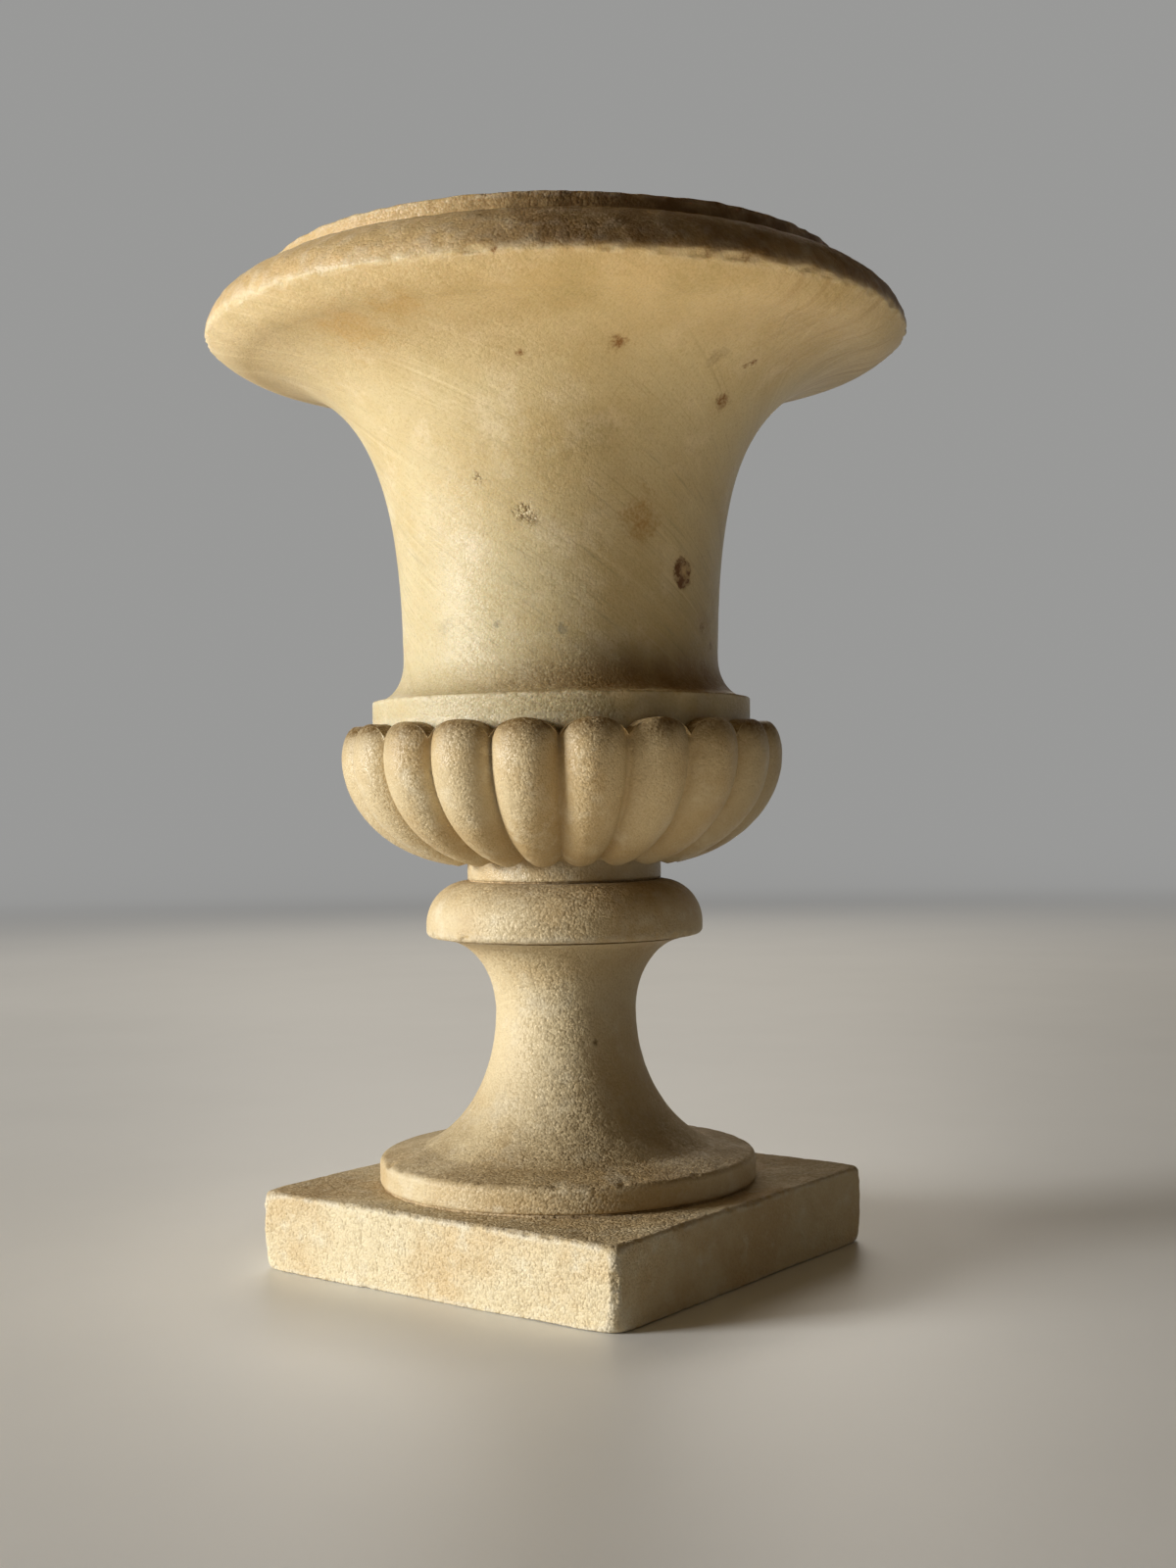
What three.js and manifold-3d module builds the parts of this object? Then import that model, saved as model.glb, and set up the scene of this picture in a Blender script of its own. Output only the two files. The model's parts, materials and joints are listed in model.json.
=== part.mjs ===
// A marble campana jardiniere: a bell on a gadrooned bowl, a collar, a waisted foot and a square plinth.
// The five stones are bedded in lime mortar and clamped together by an iron tie rod.
// Millimetres, +Z up. The origin is the middle of the plinth's underside.
// The plinth's sides face along X and Y.
import * as THREE from 'three';
import { mergeVertices } from 'three/addons/utils/BufferGeometryUtils.js';
import Module from 'manifold-3d';

// Plinth: a square slab with worn corners and arrises
const PLINTH_SIDE = 176;
const PLINTH_HEIGHT = 31;
const PLINTH_CORNER = 5;
const PLINTH_EASING = 1.4;

// Foot: a disc, a sloping ledge and a waisted stem
const FOOT_RADIUS = 76.6;
const FOOT_DISC_HEIGHT = 10.8;
const FOOT_ROUNDING = 3;
const LEDGE_WIDTH = 18.6;
const LEDGE_RISE = 3.1;
const STEM_LOWER_HEIGHT = 54.3;
const STEM_UPPER_HEIGHT = 29.9;
const STEM_WAIST_RADIUS = 28.6;

// Collar: a quarter-round moulding with a flat underside
const COLLAR_PROJECTION = 16.9;
const COLLAR_HEIGHT = 22.4;
const COLLAR_OVERHANG = 6.5;
const COLLAR_EASING = 2.4;
const COLLAR_FACE = 2.4;

// Bowl: a short neck and a ring of gadroons, round at the top and drawn out to a tip below
const NECK_RADIUS = 39.6;
const NECK_HEIGHT = 6;
const GADROON_COUNT = 20;
const GADROON_PROJECTION = 13.4;
const GADROON_LOWER_HEIGHT = 43.6;
const GADROON_UPPER_HEIGHT = 13;
const GADROON_DEPTH = 7.6;
const GADROON_CROWN = 5;
const GADROON_ROLL = 6.4;
const GADROON_ROUND_SHARE = 0.93;
const TIP_REACH = 7.4;
const TIP_ROOT = 2.6;
const TIP_ROOT_RISE = 1.3;
const TIP_LIFT = 4.2;

// Bell: a plain band, a cove, the flaring body, the rolled lip and the raised ring round the mouth
const BAND_RADIUS = 77.2;
const BAND_HEIGHT = 9.9;
const COVE_HEIGHT = 16.6;
const BELL_WAIST_RADIUS = 64.3;
const BELL_WAIST_HEIGHT = 3;
const FLARE_HEIGHT = 118.4;
const LIP_RADIUS = 142;
const LIP_LEDGE = 26.2;
const LIP_OVERHANG = 8;
const LIP_NOSE_HEIGHT = 7.6;
const LIP_QUIRK = 0.8;
const OVOLO_HEIGHT = 21.8;
const RING_WIDTH = 9.8;
const RING_HEIGHT = 6.2;
const RING_EASING = 1;
const RING_INNER_DEPTH = 8;
const BELL_WALL = 18;
const FLOOR_THICKNESS = 22.3;
const FLOOR_ROUNDING = 14;

// Joints between the stones: mortar beds set back from the faces, and turned spigots in sockets
const BED_THICKNESS = 0.8;
const BED_SETBACK = 2;
const SPIGOT_SHOULDER = 19.6;
const SPIGOT_DEPTH = 6;
const SPIGOT_CLEARANCE = 0.5;
const SEAT_CLEARANCE = 0.4;
const SEAT_RIM = 0.6;

// Tie rod and its nuts, plates and packings
const ROD_RADIUS = 6;
const ROD_TAIL = 3;
const BORE_CLEARANCE = 0.8;
const THREAD_CLEARANCE = 0.3;
const NUT_WALL = 3.5;
const NUT_HEIGHT = 10;
const PLATE_MARGIN = 6.5;
const PLATE_THICKNESS = 3;
const PACKING_THICKNESS = 1.5;
const PACKING_INSET = 1;
const RECESS_CLEARANCE = 1.2;
const RECESS_SPARE = 1.5;

// Two handles for each swept curve: shares of the way from its start to its end, in radius and in level
const STEM_LOWER_CURVE = [[0.67, 0.18], [1, 0.59]];
const STEM_UPPER_CURVE = [[0, 0.42], [0.31, 0.93]];
const GADROON_CURVE = [[0.655, 0.13], [1, 0.575]];
const FLARE_CURVE = [[0.023, 0.432], [0.055, 0.954]];
const LIP_NOSE_CURVE = [[0.35, 0.15], [0.8, 0.55]];
const OVOLO_CURVE = [[0, 0.463], [0.431, 0.872]];
const WELL_CURVE = [[0.77, 0.31], [0.98, 0.6]];

// How finely the round shapes are divided
const TURNED_SEGMENTS = 40;
const BED_SEGMENTS = 24;
const SMALL_SEGMENTS = 20;
const GADROON_COLUMNS = 6;
const LONG_STEPS = 9;
const SHORT_STEPS = 6;
const ROUNDING_STEPS = 3;

// Levels, from the ground up
const plinthTop = PLINTH_HEIGHT;
const footBase = plinthTop + BED_THICKNESS;
const discTop = footBase + FOOT_DISC_HEIGHT;
const ledgeTop = discTop + LEDGE_RISE;
const stemWaist = ledgeTop + STEM_LOWER_HEIGHT;
const stemTop = stemWaist + STEM_UPPER_HEIGHT;
const collarBase = stemTop + BED_THICKNESS;
const collarTop = collarBase + COLLAR_HEIGHT;
const neckBase = collarTop + BED_THICKNESS;
const tipLevel = neckBase + NECK_HEIGHT;
const gadroonWidest = tipLevel + GADROON_LOWER_HEIGHT;
const gadroonTop = gadroonWidest + GADROON_UPPER_HEIGHT;
const bowlTop = gadroonTop - GADROON_CROWN - SEAT_RIM;
const bellBase = bowlTop + BED_THICKNESS;
const bandTop = gadroonTop + BAND_HEIGHT;
const coveTop = bandTop + COVE_HEIGHT;
const flareBase = coveTop + BELL_WAIST_HEIGHT;
const flareTop = flareBase + FLARE_HEIGHT;
const lipLevel = flareTop + LIP_NOSE_HEIGHT;
const ringBase = lipLevel + OVOLO_HEIGHT;
const mouthTop = ringBase + RING_HEIGHT;
const wellFloor = bellBase + FLOOR_THICKNESS;

// Radii that follow from the sizes above
const boreRadius = ROD_RADIUS + BORE_CLEARANCE;
const spigotRadius = NECK_RADIUS - SPIGOT_SHOULDER;
const socketRadius = spigotRadius + SPIGOT_CLEARANCE;
const socketDepth = SPIGOT_DEPTH + SPIGOT_CLEARANCE;
const collarRadius = NECK_RADIUS + COLLAR_PROJECTION;
const stemTopRadius = collarRadius - COLLAR_OVERHANG;
const seatRadius = BAND_RADIUS + SEAT_CLEARANCE;
const gadroonRadius = seatRadius + GADROON_PROJECTION;
const wellRadius = BELL_WAIST_RADIUS - BELL_WALL;
const ringRadius = LIP_RADIUS - LIP_LEDGE;
const mouthRadius = ringRadius - RING_WIDTH;
const nutCorner = (2 * (ROD_RADIUS + NUT_WALL)) / Math.sqrt(3);
const plateRadius = nutCorner + PLATE_MARGIN;
const recessRadius = plateRadius + RECESS_CLEARANCE;
const recessDepth = PACKING_THICKNESS + PLATE_THICKNESS + NUT_HEIGHT + ROD_TAIL + RECESS_SPARE;

const marble = new THREE.MeshStandardMaterial({ color: 0xd8cdb4, roughness: 0.62, metalness: 0 });
const mortar = new THREE.MeshStandardMaterial({ color: 0xa99c84, roughness: 0.95, metalness: 0 });
const iron = new THREE.MeshStandardMaterial({ color: 0x4a3b32, roughness: 0.7, metalness: 0.8 });
const leather = new THREE.MeshStandardMaterial({ color: 0x5b4028, roughness: 0.85, metalness: 0 });

const wasm = await Module();
wasm.setup();

const point = (radius, level) => new THREE.Vector2(radius, level);

// A smooth run from one point to another, pulled by two handles, without its first point
function sweep(start, end, handles, steps) {
  const [first, second] = handles.map(([acrossShare, upShare]) => point(
    start.x + (end.x - start.x) * acrossShare,
    start.y + (end.y - start.y) * upShare,
  ));
  return new THREE.CubicBezierCurve(start, first, second, end).getPoints(steps).slice(1);
}

// A stretch of an ellipse about a centre, between two angles in degrees, without its first point
function round(centre, width, height, fromDegrees, toDegrees, steps) {
  const from = THREE.MathUtils.degToRad(fromDegrees);
  const to = THREE.MathUtils.degToRad(toDegrees);
  const curve = new THREE.EllipseCurve(centre.x, centre.y, width, height, from, to, to < from);
  return curve.getPoints(steps).slice(1);
}

// Turns a closed outline of radius and level about the Z axis
function turned(outline, segments) {
  return new THREE.LatheGeometry([...outline, outline[0]], segments).rotateX(Math.PI / 2);
}

function solid(geometry) {
  const bare = geometry.clone();
  bare.deleteAttribute('normal');
  bare.deleteAttribute('uv');
  const closed = mergeVertices(bare);
  return new wasm.Manifold(new wasm.Mesh({
    numProp: 3,
    vertProperties: new Float32Array(closed.attributes.position.array),
    triVerts: new Uint32Array(closed.index.array),
  }));
}

function cut(body, tool) {
  const mesh = solid(body).subtract(solid(tool)).getMesh();
  const geometry = new THREE.BufferGeometry();
  geometry.setAttribute('position', new THREE.BufferAttribute(mesh.vertProperties, 3));
  geometry.setIndex(new THREE.BufferAttribute(mesh.triVerts, 1));
  geometry.computeVertexNormals();
  return geometry;
}

function ring(innerRadius, outerRadius, base, height, segments) {
  return turned([
    point(innerRadius, base),
    point(outerRadius, base),
    point(outerRadius, base + height),
    point(innerRadius, base + height),
  ], segments);
}

// The slab, bored for the rod, with a round recess below for the nut
function plinthStone() {
  const half = PLINTH_SIDE / 2 - PLINTH_EASING;
  const straight = half - PLINTH_CORNER;
  const square = new THREE.Shape();
  square.absarc(straight, straight, PLINTH_CORNER, 0, Math.PI / 2);
  square.absarc(-straight, straight, PLINTH_CORNER, Math.PI / 2, Math.PI);
  square.absarc(-straight, -straight, PLINTH_CORNER, Math.PI, Math.PI * 1.5);
  square.absarc(straight, -straight, PLINTH_CORNER, Math.PI * 1.5, Math.PI * 2);
  const slab = new THREE.ExtrudeGeometry(square, {
    depth: PLINTH_HEIGHT - 2 * PLINTH_EASING,
    bevelSize: PLINTH_EASING,
    bevelThickness: PLINTH_EASING,
    bevelSegments: ROUNDING_STEPS,
    curveSegments: ROUNDING_STEPS,
  });
  slab.translate(0, 0, PLINTH_EASING);
  const boring = turned([
    point(0, -RECESS_CLEARANCE),
    point(recessRadius, -RECESS_CLEARANCE),
    point(recessRadius, recessDepth),
    point(boreRadius, recessDepth),
    point(boreRadius, plinthTop + RECESS_CLEARANCE),
    point(0, plinthTop + RECESS_CLEARANCE),
  ], SMALL_SEGMENTS);
  return cut(slab, boring);
}

// Disc, ledge and stem, with a spigot on top
function footStone() {
  const rounding = point(FOOT_RADIUS - FOOT_ROUNDING, discTop - FOOT_ROUNDING);
  const ledgeInner = point(FOOT_RADIUS - LEDGE_WIDTH, ledgeTop);
  const waist = point(STEM_WAIST_RADIUS, stemWaist);
  const top = point(stemTopRadius, stemTop);
  const ledgeSlope = THREE.MathUtils.radToDeg(Math.atan2(LEDGE_RISE, LEDGE_WIDTH));
  return turned([
    point(boreRadius, footBase),
    point(FOOT_RADIUS, footBase),
    point(FOOT_RADIUS, rounding.y),
    ...round(rounding, FOOT_ROUNDING, FOOT_ROUNDING, 0, 90 - ledgeSlope, ROUNDING_STEPS),
    ledgeInner,
    ...sweep(ledgeInner, waist, STEM_LOWER_CURVE, LONG_STEPS),
    ...sweep(waist, top, STEM_UPPER_CURVE, SHORT_STEPS),
    point(spigotRadius, stemTop),
    point(spigotRadius, stemTop + SPIGOT_DEPTH),
    point(boreRadius, stemTop + SPIGOT_DEPTH),
  ], TURNED_SEGMENTS);
}

// A quarter-round with a socket in each bed
function collarStone() {
  const eased = point(collarRadius - COLLAR_EASING, collarBase + COLLAR_EASING);
  const faceTop = collarBase + COLLAR_EASING + COLLAR_FACE;
  const crown = point(NECK_RADIUS, faceTop);
  return turned([
    point(boreRadius, collarBase + socketDepth),
    point(socketRadius, collarBase + socketDepth),
    point(socketRadius, collarBase),
    point(eased.x, collarBase),
    ...round(eased, COLLAR_EASING, COLLAR_EASING, -90, 0, ROUNDING_STEPS),
    point(collarRadius, faceTop),
    ...round(crown, COLLAR_PROJECTION, collarTop - faceTop, 0, 90, SHORT_STEPS),
    point(socketRadius, collarTop),
    point(socketRadius, collarTop - socketDepth),
    point(boreRadius, collarTop - socketDepth),
  ], TURNED_SEGMENTS);
}

// The line that runs along the crest of one gadroon, from its tip to the seat of the bell
function gadroonCrest() {
  const tip = point(NECK_RADIUS + TIP_REACH, tipLevel);
  const widest = point(gadroonRadius, gadroonWidest);
  const bend = point(gadroonRadius - GADROON_ROLL, gadroonWidest);
  return [
    point(NECK_RADIUS + TIP_ROOT, tipLevel + TIP_ROOT_RISE),
    tip,
    ...sweep(tip, widest, GADROON_CURVE, LONG_STEPS),
    ...round(bend, GADROON_ROLL, GADROON_UPPER_HEIGHT, 0, 90, ROUNDING_STEPS),
    point(seatRadius, gadroonTop),
  ];
}

// How far the surface lies below the crest: 0 on the crest, 1 in the valley, on a round section
function valleyShare(angle) {
  const pitch = (2 * Math.PI) / GADROON_COUNT;
  const across = 2 * (angle / pitch - Math.floor(angle / pitch)) - 1;
  const fall = (share) => 1 - Math.sqrt(1 - (GADROON_ROUND_SHARE * share) ** 2);
  return fall(across) / fall(1);
}

// The crest line is turned first; then the valleys are sunk square to it
function bowlStone() {
  const crest = gadroonCrest();
  const start = [
    point(boreRadius, neckBase - SPIGOT_DEPTH),
    point(spigotRadius, neckBase - SPIGOT_DEPTH),
    point(spigotRadius, neckBase),
    point(NECK_RADIUS, neckBase),
    point(NECK_RADIUS, tipLevel + TIP_LIFT),
  ];
  const end = [
    point(seatRadius, bowlTop),
    point(boreRadius, bowlTop),
  ];
  const columns = GADROON_COUNT * GADROON_COLUMNS;
  const geometry = turned([...start, ...crest, ...end], columns);
  const rows = start.length + crest.length + end.length + 1;
  const position = geometry.attributes.position;
  for (let index = 0; index < position.count; index += 1) {
    const place = (index % rows) - start.length;
    if (place < 0 || place >= crest.length) continue;
    const along = crest[Math.min(place + 1, crest.length - 1)].clone().sub(crest[Math.max(place - 1, 0)]);
    const outward = point(along.y, -along.x).normalize();
    const atSeat = place === crest.length - 1;
    const deepest = atSeat ? GADROON_CROWN : (GADROON_DEPTH * crest[place].x) / gadroonRadius;
    const angle = (Math.floor(index / rows) * 2 * Math.PI) / columns;
    const sunk = deepest * valleyShare(angle);
    const radius = atSeat ? seatRadius : crest[place].x - outward.x * sunk;
    const level = atSeat ? gadroonTop - sunk : crest[place].y - outward.y * sunk;
    position.setXYZ(index, radius * Math.sin(angle), -radius * Math.cos(angle), level);
  }
  geometry.computeVertexNormals();
  return geometry;
}

// Band, cove, flare, lip and mouth ring outside, and the planting well inside.
// The well's floor is parted into a seat for the plate and the open floor round it.
function bellStone() {
  const waist = point(BELL_WAIST_RADIUS, flareBase);
  const flareEnd = point(LIP_RADIUS - LIP_OVERHANG, flareTop);
  const nose = point(LIP_RADIUS - LIP_QUIRK, lipLevel - LIP_QUIRK);
  const ovoloBase = point(LIP_RADIUS, lipLevel);
  const ovoloTop = point(ringRadius, ringBase);
  const well = point(wellRadius, wellFloor + FLOOR_ROUNDING);
  const mouth = point(mouthRadius, mouthTop - RING_INNER_DEPTH);
  const floorEdge = point(wellRadius - FLOOR_ROUNDING, wellFloor + FLOOR_ROUNDING);
  return turned([
    point(boreRadius, bellBase),
    point(BAND_RADIUS, bellBase),
    point(BAND_RADIUS, bandTop),
    ...round(point(BAND_RADIUS, coveTop), BAND_RADIUS - waist.x, COVE_HEIGHT, 270, 180, SHORT_STEPS),
    waist,
    ...sweep(waist, flareEnd, FLARE_CURVE, LONG_STEPS),
    ...sweep(flareEnd, nose, LIP_NOSE_CURVE, ROUNDING_STEPS),
    ovoloBase,
    ...sweep(ovoloBase, ovoloTop, OVOLO_CURVE, SHORT_STEPS),
    point(ringRadius, mouthTop - RING_EASING),
    point(ringRadius - RING_EASING, mouthTop),
    point(mouthRadius + RING_EASING, mouthTop),
    point(mouthRadius, mouthTop - RING_EASING),
    mouth,
    ...sweep(mouth, well, WELL_CURVE, LONG_STEPS),
    ...round(floorEdge, FLOOR_ROUNDING, FLOOR_ROUNDING, 0, -90, ROUNDING_STEPS),
    point(recessRadius, wellFloor),
    point(boreRadius, wellFloor),
  ], TURNED_SEGMENTS);
}

function mortarBed(innerRadius, faceRadius, base) {
  return ring(innerRadius, faceRadius - BED_SETBACK, base, BED_THICKNESS, BED_SEGMENTS);
}

function hexagonNut(base) {
  const outline = new THREE.Shape();
  for (let side = 0; side < 6; side += 1) {
    const angle = (side * Math.PI) / 3;
    const place = [nutCorner * Math.cos(angle), nutCorner * Math.sin(angle)];
    if (side === 0) outline.moveTo(...place);
    else outline.lineTo(...place);
  }
  const hole = new THREE.Path();
  hole.absarc(0, 0, ROD_RADIUS + THREAD_CLEARANCE, 0, 2 * Math.PI, true);
  outline.holes.push(hole);
  const nut = new THREE.ExtrudeGeometry(outline, {
    depth: NUT_HEIGHT,
    bevelEnabled: false,
    curveSegments: SMALL_SEGMENTS / 2,
  });
  return nut.translate(0, 0, base);
}

function plateWasher(base) {
  return ring(boreRadius, plateRadius, base, PLATE_THICKNESS, SMALL_SEGMENTS);
}

function packingWasher(base) {
  return ring(boreRadius, plateRadius - PACKING_INSET, base, PACKING_THICKNESS, SMALL_SEGMENTS);
}

function tieRod(base, top) {
  const rod = new THREE.CylinderGeometry(ROD_RADIUS, ROD_RADIUS, top - base, SMALL_SEGMENTS);
  return rod.rotateX(Math.PI / 2).translate(0, 0, (base + top) / 2);
}

const jardiniere = new THREE.Group();

function add(name, geometry, material) {
  const mesh = new THREE.Mesh(geometry, material);
  mesh.name = name;
  jardiniere.add(mesh);
}

add('plinth', plinthStone(), marble);
add('foot', footStone(), marble);
add('collar', collarStone(), marble);
add('bowl', bowlStone(), marble);
add('bell', bellStone(), marble);

add('plinth_mortar', mortarBed(boreRadius, FOOT_RADIUS, plinthTop), mortar);
add('collar_mortar', mortarBed(socketRadius, stemTopRadius, stemTop), mortar);
add('neck_mortar', mortarBed(socketRadius, NECK_RADIUS, collarTop), mortar);
add('bowl_mortar', mortarBed(boreRadius, BAND_RADIUS, bowlTop), mortar);

const basePacking = recessDepth - PACKING_THICKNESS;
const basePlate = basePacking - PLATE_THICKNESS;
const baseNut = basePlate - NUT_HEIGHT;
const floorPlate = wellFloor + PACKING_THICKNESS;
const floorNut = floorPlate + PLATE_THICKNESS;
add('base_packing', packingWasher(basePacking), leather);
add('base_plate', plateWasher(basePlate), iron);
add('base_nut', hexagonNut(baseNut), iron);
add('floor_packing', packingWasher(wellFloor), leather);
add('floor_plate', plateWasher(floorPlate), iron);
add('floor_nut', hexagonNut(floorNut), iron);
add('tie_rod', tieRod(baseNut - ROD_TAIL, floorNut + NUT_HEIGHT + ROD_TAIL), iron);

export default jardiniere;
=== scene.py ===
# %% [markdown]
# # A weathered marble jardiniere
# This lesson dresses a planter made of five stones: a square plinth, a waisted foot, a collar, a bowl
# ringed with gadroons (carved thumb shapes) and a flaring bell. The frame already holds their true sizes
# and places. Here each stone gets its worn skin, its crystals and its stains, and each hidden fitting
# gets its rust.

# %% Load the frame
import json
import math
import random

import bmesh
import bpy
import numpy as np
from mathutils import Matrix, Vector, noise
from mathutils.geometry import interpolate_bezier
from mathutils.kdtree import KDTree

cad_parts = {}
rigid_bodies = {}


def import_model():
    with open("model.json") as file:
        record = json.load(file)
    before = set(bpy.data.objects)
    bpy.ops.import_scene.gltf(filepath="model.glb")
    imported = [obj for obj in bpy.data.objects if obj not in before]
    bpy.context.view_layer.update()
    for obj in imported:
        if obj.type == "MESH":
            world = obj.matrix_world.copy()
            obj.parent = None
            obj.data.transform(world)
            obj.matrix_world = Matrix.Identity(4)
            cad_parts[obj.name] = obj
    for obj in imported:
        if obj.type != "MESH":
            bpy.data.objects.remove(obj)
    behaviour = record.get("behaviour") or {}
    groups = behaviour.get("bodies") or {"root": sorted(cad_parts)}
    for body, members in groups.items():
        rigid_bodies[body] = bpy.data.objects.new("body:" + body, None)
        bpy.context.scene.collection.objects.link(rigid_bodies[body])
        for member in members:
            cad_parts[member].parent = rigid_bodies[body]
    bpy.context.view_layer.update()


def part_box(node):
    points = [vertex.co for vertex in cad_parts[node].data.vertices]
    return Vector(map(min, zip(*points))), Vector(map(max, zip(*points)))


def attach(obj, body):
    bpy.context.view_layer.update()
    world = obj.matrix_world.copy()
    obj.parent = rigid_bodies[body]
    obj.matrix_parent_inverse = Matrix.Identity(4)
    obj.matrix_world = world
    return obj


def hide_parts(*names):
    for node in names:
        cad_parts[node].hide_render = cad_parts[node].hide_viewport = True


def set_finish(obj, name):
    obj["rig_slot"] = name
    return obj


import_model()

# %% [markdown]
# ## Drawing an outline
# A mason turns such a stone against a template of one side of it. We do the same: an outline is a list of
# points in the XZ plane, X being the radius and Z the level. Straight runs and cubic curves are all it
# takes, because a cubic whose handles lie at a share of 0.552 is also a very good quarter round.

# %% Outline helpers
MM = 0.001
ROUND = 0.552
OUT_THEN_UP = ((ROUND, 0.0), (1.0, 1.0 - ROUND))
UP_THEN_OUT = ((0.0, ROUND), (1.0 - ROUND, 1.0))


def at(radius, level):
    """A point of an outline, from millimetres."""
    return Vector((radius, 0.0, level)) * MM


def straight(start, end, spacing):
    """Points from start up to end, without end, about spacing millimetres apart."""
    steps = max(1, round((end - start).length / (spacing * MM)))
    return [start.lerp(end, step / steps) for step in range(steps)]


def curved(start, end, handles, spacing):
    """The same along a cubic, whose handles are shares of the way to end in radius and in level."""
    span = end - start
    first, second = (start + Vector((span.x * out, 0.0, span.z * up)) for out, up in handles)
    draft = interpolate_bezier(start, first, second, end, 64)
    length = sum((after - before).length for before, after in zip(draft, draft[1:]))
    steps = max(2, round(length / (spacing * MM)))
    return interpolate_bezier(start, first, second, end, steps + 1)[:-1]


def drawn(start, *legs):
    """An outline in legs, without its last end. Each leg has an end, a spacing and, for a curve, handles."""
    points = []
    for end, spacing, *handles in legs:
        points += curved(start, end, *handles, spacing) if handles else straight(start, end, spacing)
        start = end
    return points


trial_outline = drawn(at(20, 0), (at(20, 10), 5), (at(10, 20), 5, UP_THEN_OUT))
print("a trial outline, straight and then round, has", len(trial_outline), "points")

# %% [markdown]
# ## Turning a stone
# The Spin operator is our lathe. The outline is a closed loop that runs up the outside, down the well or
# the bore and back along the bed, so one full turn gives a closed stone. Every step of a spin visits the
# whole mesh, which is slow for hundreds of steps, so a large stone is spun as a wedge, and the wedge is
# copied round; merging doubles then joins the wedges. What an outline's points carry in a layer, such as
# "this is the well", is copied round with them.

# %% Lathe
DOUBLES = 0.01 * MM


def turned(outline, steps, wedges=1, closed=True, **layers):
    """Turns an outline once round the Z axis. Each layer holds one value for each point of the outline."""
    shape = bmesh.new()
    for name in layers:
        shape.verts.layers.float.new(name)
    points = [shape.verts.new(place) for place in outline]
    for name, values in layers.items():
        for point, value in zip(points, values, strict=True):
            point[shape.verts.layers.float[name]] = value
    ends = points[1:] + points[:1] if closed else points[1:]
    edges = [shape.edges.new(pair) for pair in zip(points, ends)]
    bmesh.ops.spin(shape, geom=points + edges, cent=(0, 0, 0), axis=(0, 0, 1), angle=math.tau / wedges,
                   steps=steps // wedges, use_merge=wedges == 1)
    wedge = [*shape.verts, *shape.edges, *shape.faces]
    for place in range(1, wedges):
        copy = bmesh.ops.duplicate(shape, geom=wedge)["geom"]
        bmesh.ops.rotate(shape, verts=[part for part in copy if isinstance(part, bmesh.types.BMVert)],
                         cent=(0, 0, 0), matrix=Matrix.Rotation(math.tau * place / wedges, 3, "Z"))
    bmesh.ops.remove_doubles(shape, verts=shape.verts, dist=DOUBLES)
    bmesh.ops.recalc_face_normals(shape, faces=shape.faces)
    return shape


trial = turned(trial_outline, 16, wedges=4)
print("turned in 4 wedges it has", len(trial.faces), "faces and",
      sum(edge.is_boundary for edge in trial.edges), "open edges")
trial.free()


# %% Placing a piece
def placed(shape, name, slot, *nodes):
    """Makes a finished shape an object that stands for its CAD nodes and takes the finish of a slot."""
    mesh = bpy.data.meshes.new(name)
    shape.to_mesh(mesh)
    shape.free()
    mesh.shade_smooth()
    piece = bpy.data.objects.new(name, mesh)
    bpy.context.scene.collection.objects.link(piece)
    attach(piece, "root")
    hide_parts(*nodes)
    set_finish(piece, slot)
    mesh.calc_loop_triangles()
    print(f"{name}: {len(mesh.loop_triangles)} triangles")
    return piece


def extent(name):
    """A round node's radius, base and top, in millimetres."""
    low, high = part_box(name)
    return high.x / MM, low.z / MM, high.z / MM


print("the bell's radius, base and top:", [round(size, 1) for size in extent("bell")], "mm")

# %% [markdown]
# ## Weathering in the mesh
# Long years outdoors leave a stone slightly uneven, and knocks leave shell-shaped chips on its edges.
# Bump alone would not show in the outline, so we move the vertices: a broad and a fine noise along the
# normals, then chips. A chip is what a ball bites out of an edge: each vertex inside the ball is pushed
# back to the ball's skin.

# %% Weathering helpers
SWELL_SIZE = 38 * MM
SAND_SIZE = 4.5 * MM
CHIP_LEAN = 18
CHIP_YAW = 22


def weather(shape, swell, sand, seed):
    """Moves each vertex along its normal by two noises, whose heights are in millimetres."""
    shape.normal_update()
    drift = Vector((seed, seed, seed)) * 7.3
    for vert in shape.verts:
        broad = noise.noise(vert.co / SWELL_SIZE + drift)
        fine = noise.noise(vert.co / SAND_SIZE + drift)
        vert.co += vert.normal * (swell * broad + sand * fine) * MM


def chip(shape, chips):
    """Bites chips out of a shape. Each is a place on an edge, the way out, a ball's radius and a depth."""
    shape.verts.ensure_lookup_table()
    finder = KDTree(len(shape.verts))
    for vert in shape.verts:
        finder.insert(vert.co, vert.index)
    finder.balance()
    for place, outward, ball, depth in chips:
        middle = place + outward * (ball - depth)
        for _, index, _ in finder.find_range(middle, ball):
            vert = shape.verts[index]
            offset = vert.co - middle
            if offset.length < ball:
                along = offset.dot(outward)
                vert.co -= outward * (along + math.sqrt(along ** 2 - offset.length_squared + ball ** 2))


def chips_round(count, edge, slant, sizes, depths, seed):
    """Chips at random round a turned edge. Slant is the way out of the edge, in degrees above level."""
    draw = random.Random(seed)
    for _ in range(count):
        turn = draw.uniform(0, math.tau)
        lean = math.radians(slant + draw.uniform(-CHIP_LEAN, CHIP_LEAN))
        yaw = turn + math.radians(draw.uniform(-CHIP_YAW, CHIP_YAW))
        place = Vector((edge.x * math.cos(turn), edge.x * math.sin(turn), edge.z))
        outward = Vector((math.cos(yaw) * math.cos(lean), math.sin(yaw) * math.cos(lean), math.sin(lean)))
        yield place, outward, draw.uniform(*sizes) * MM, draw.uniform(*depths) * MM


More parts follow.
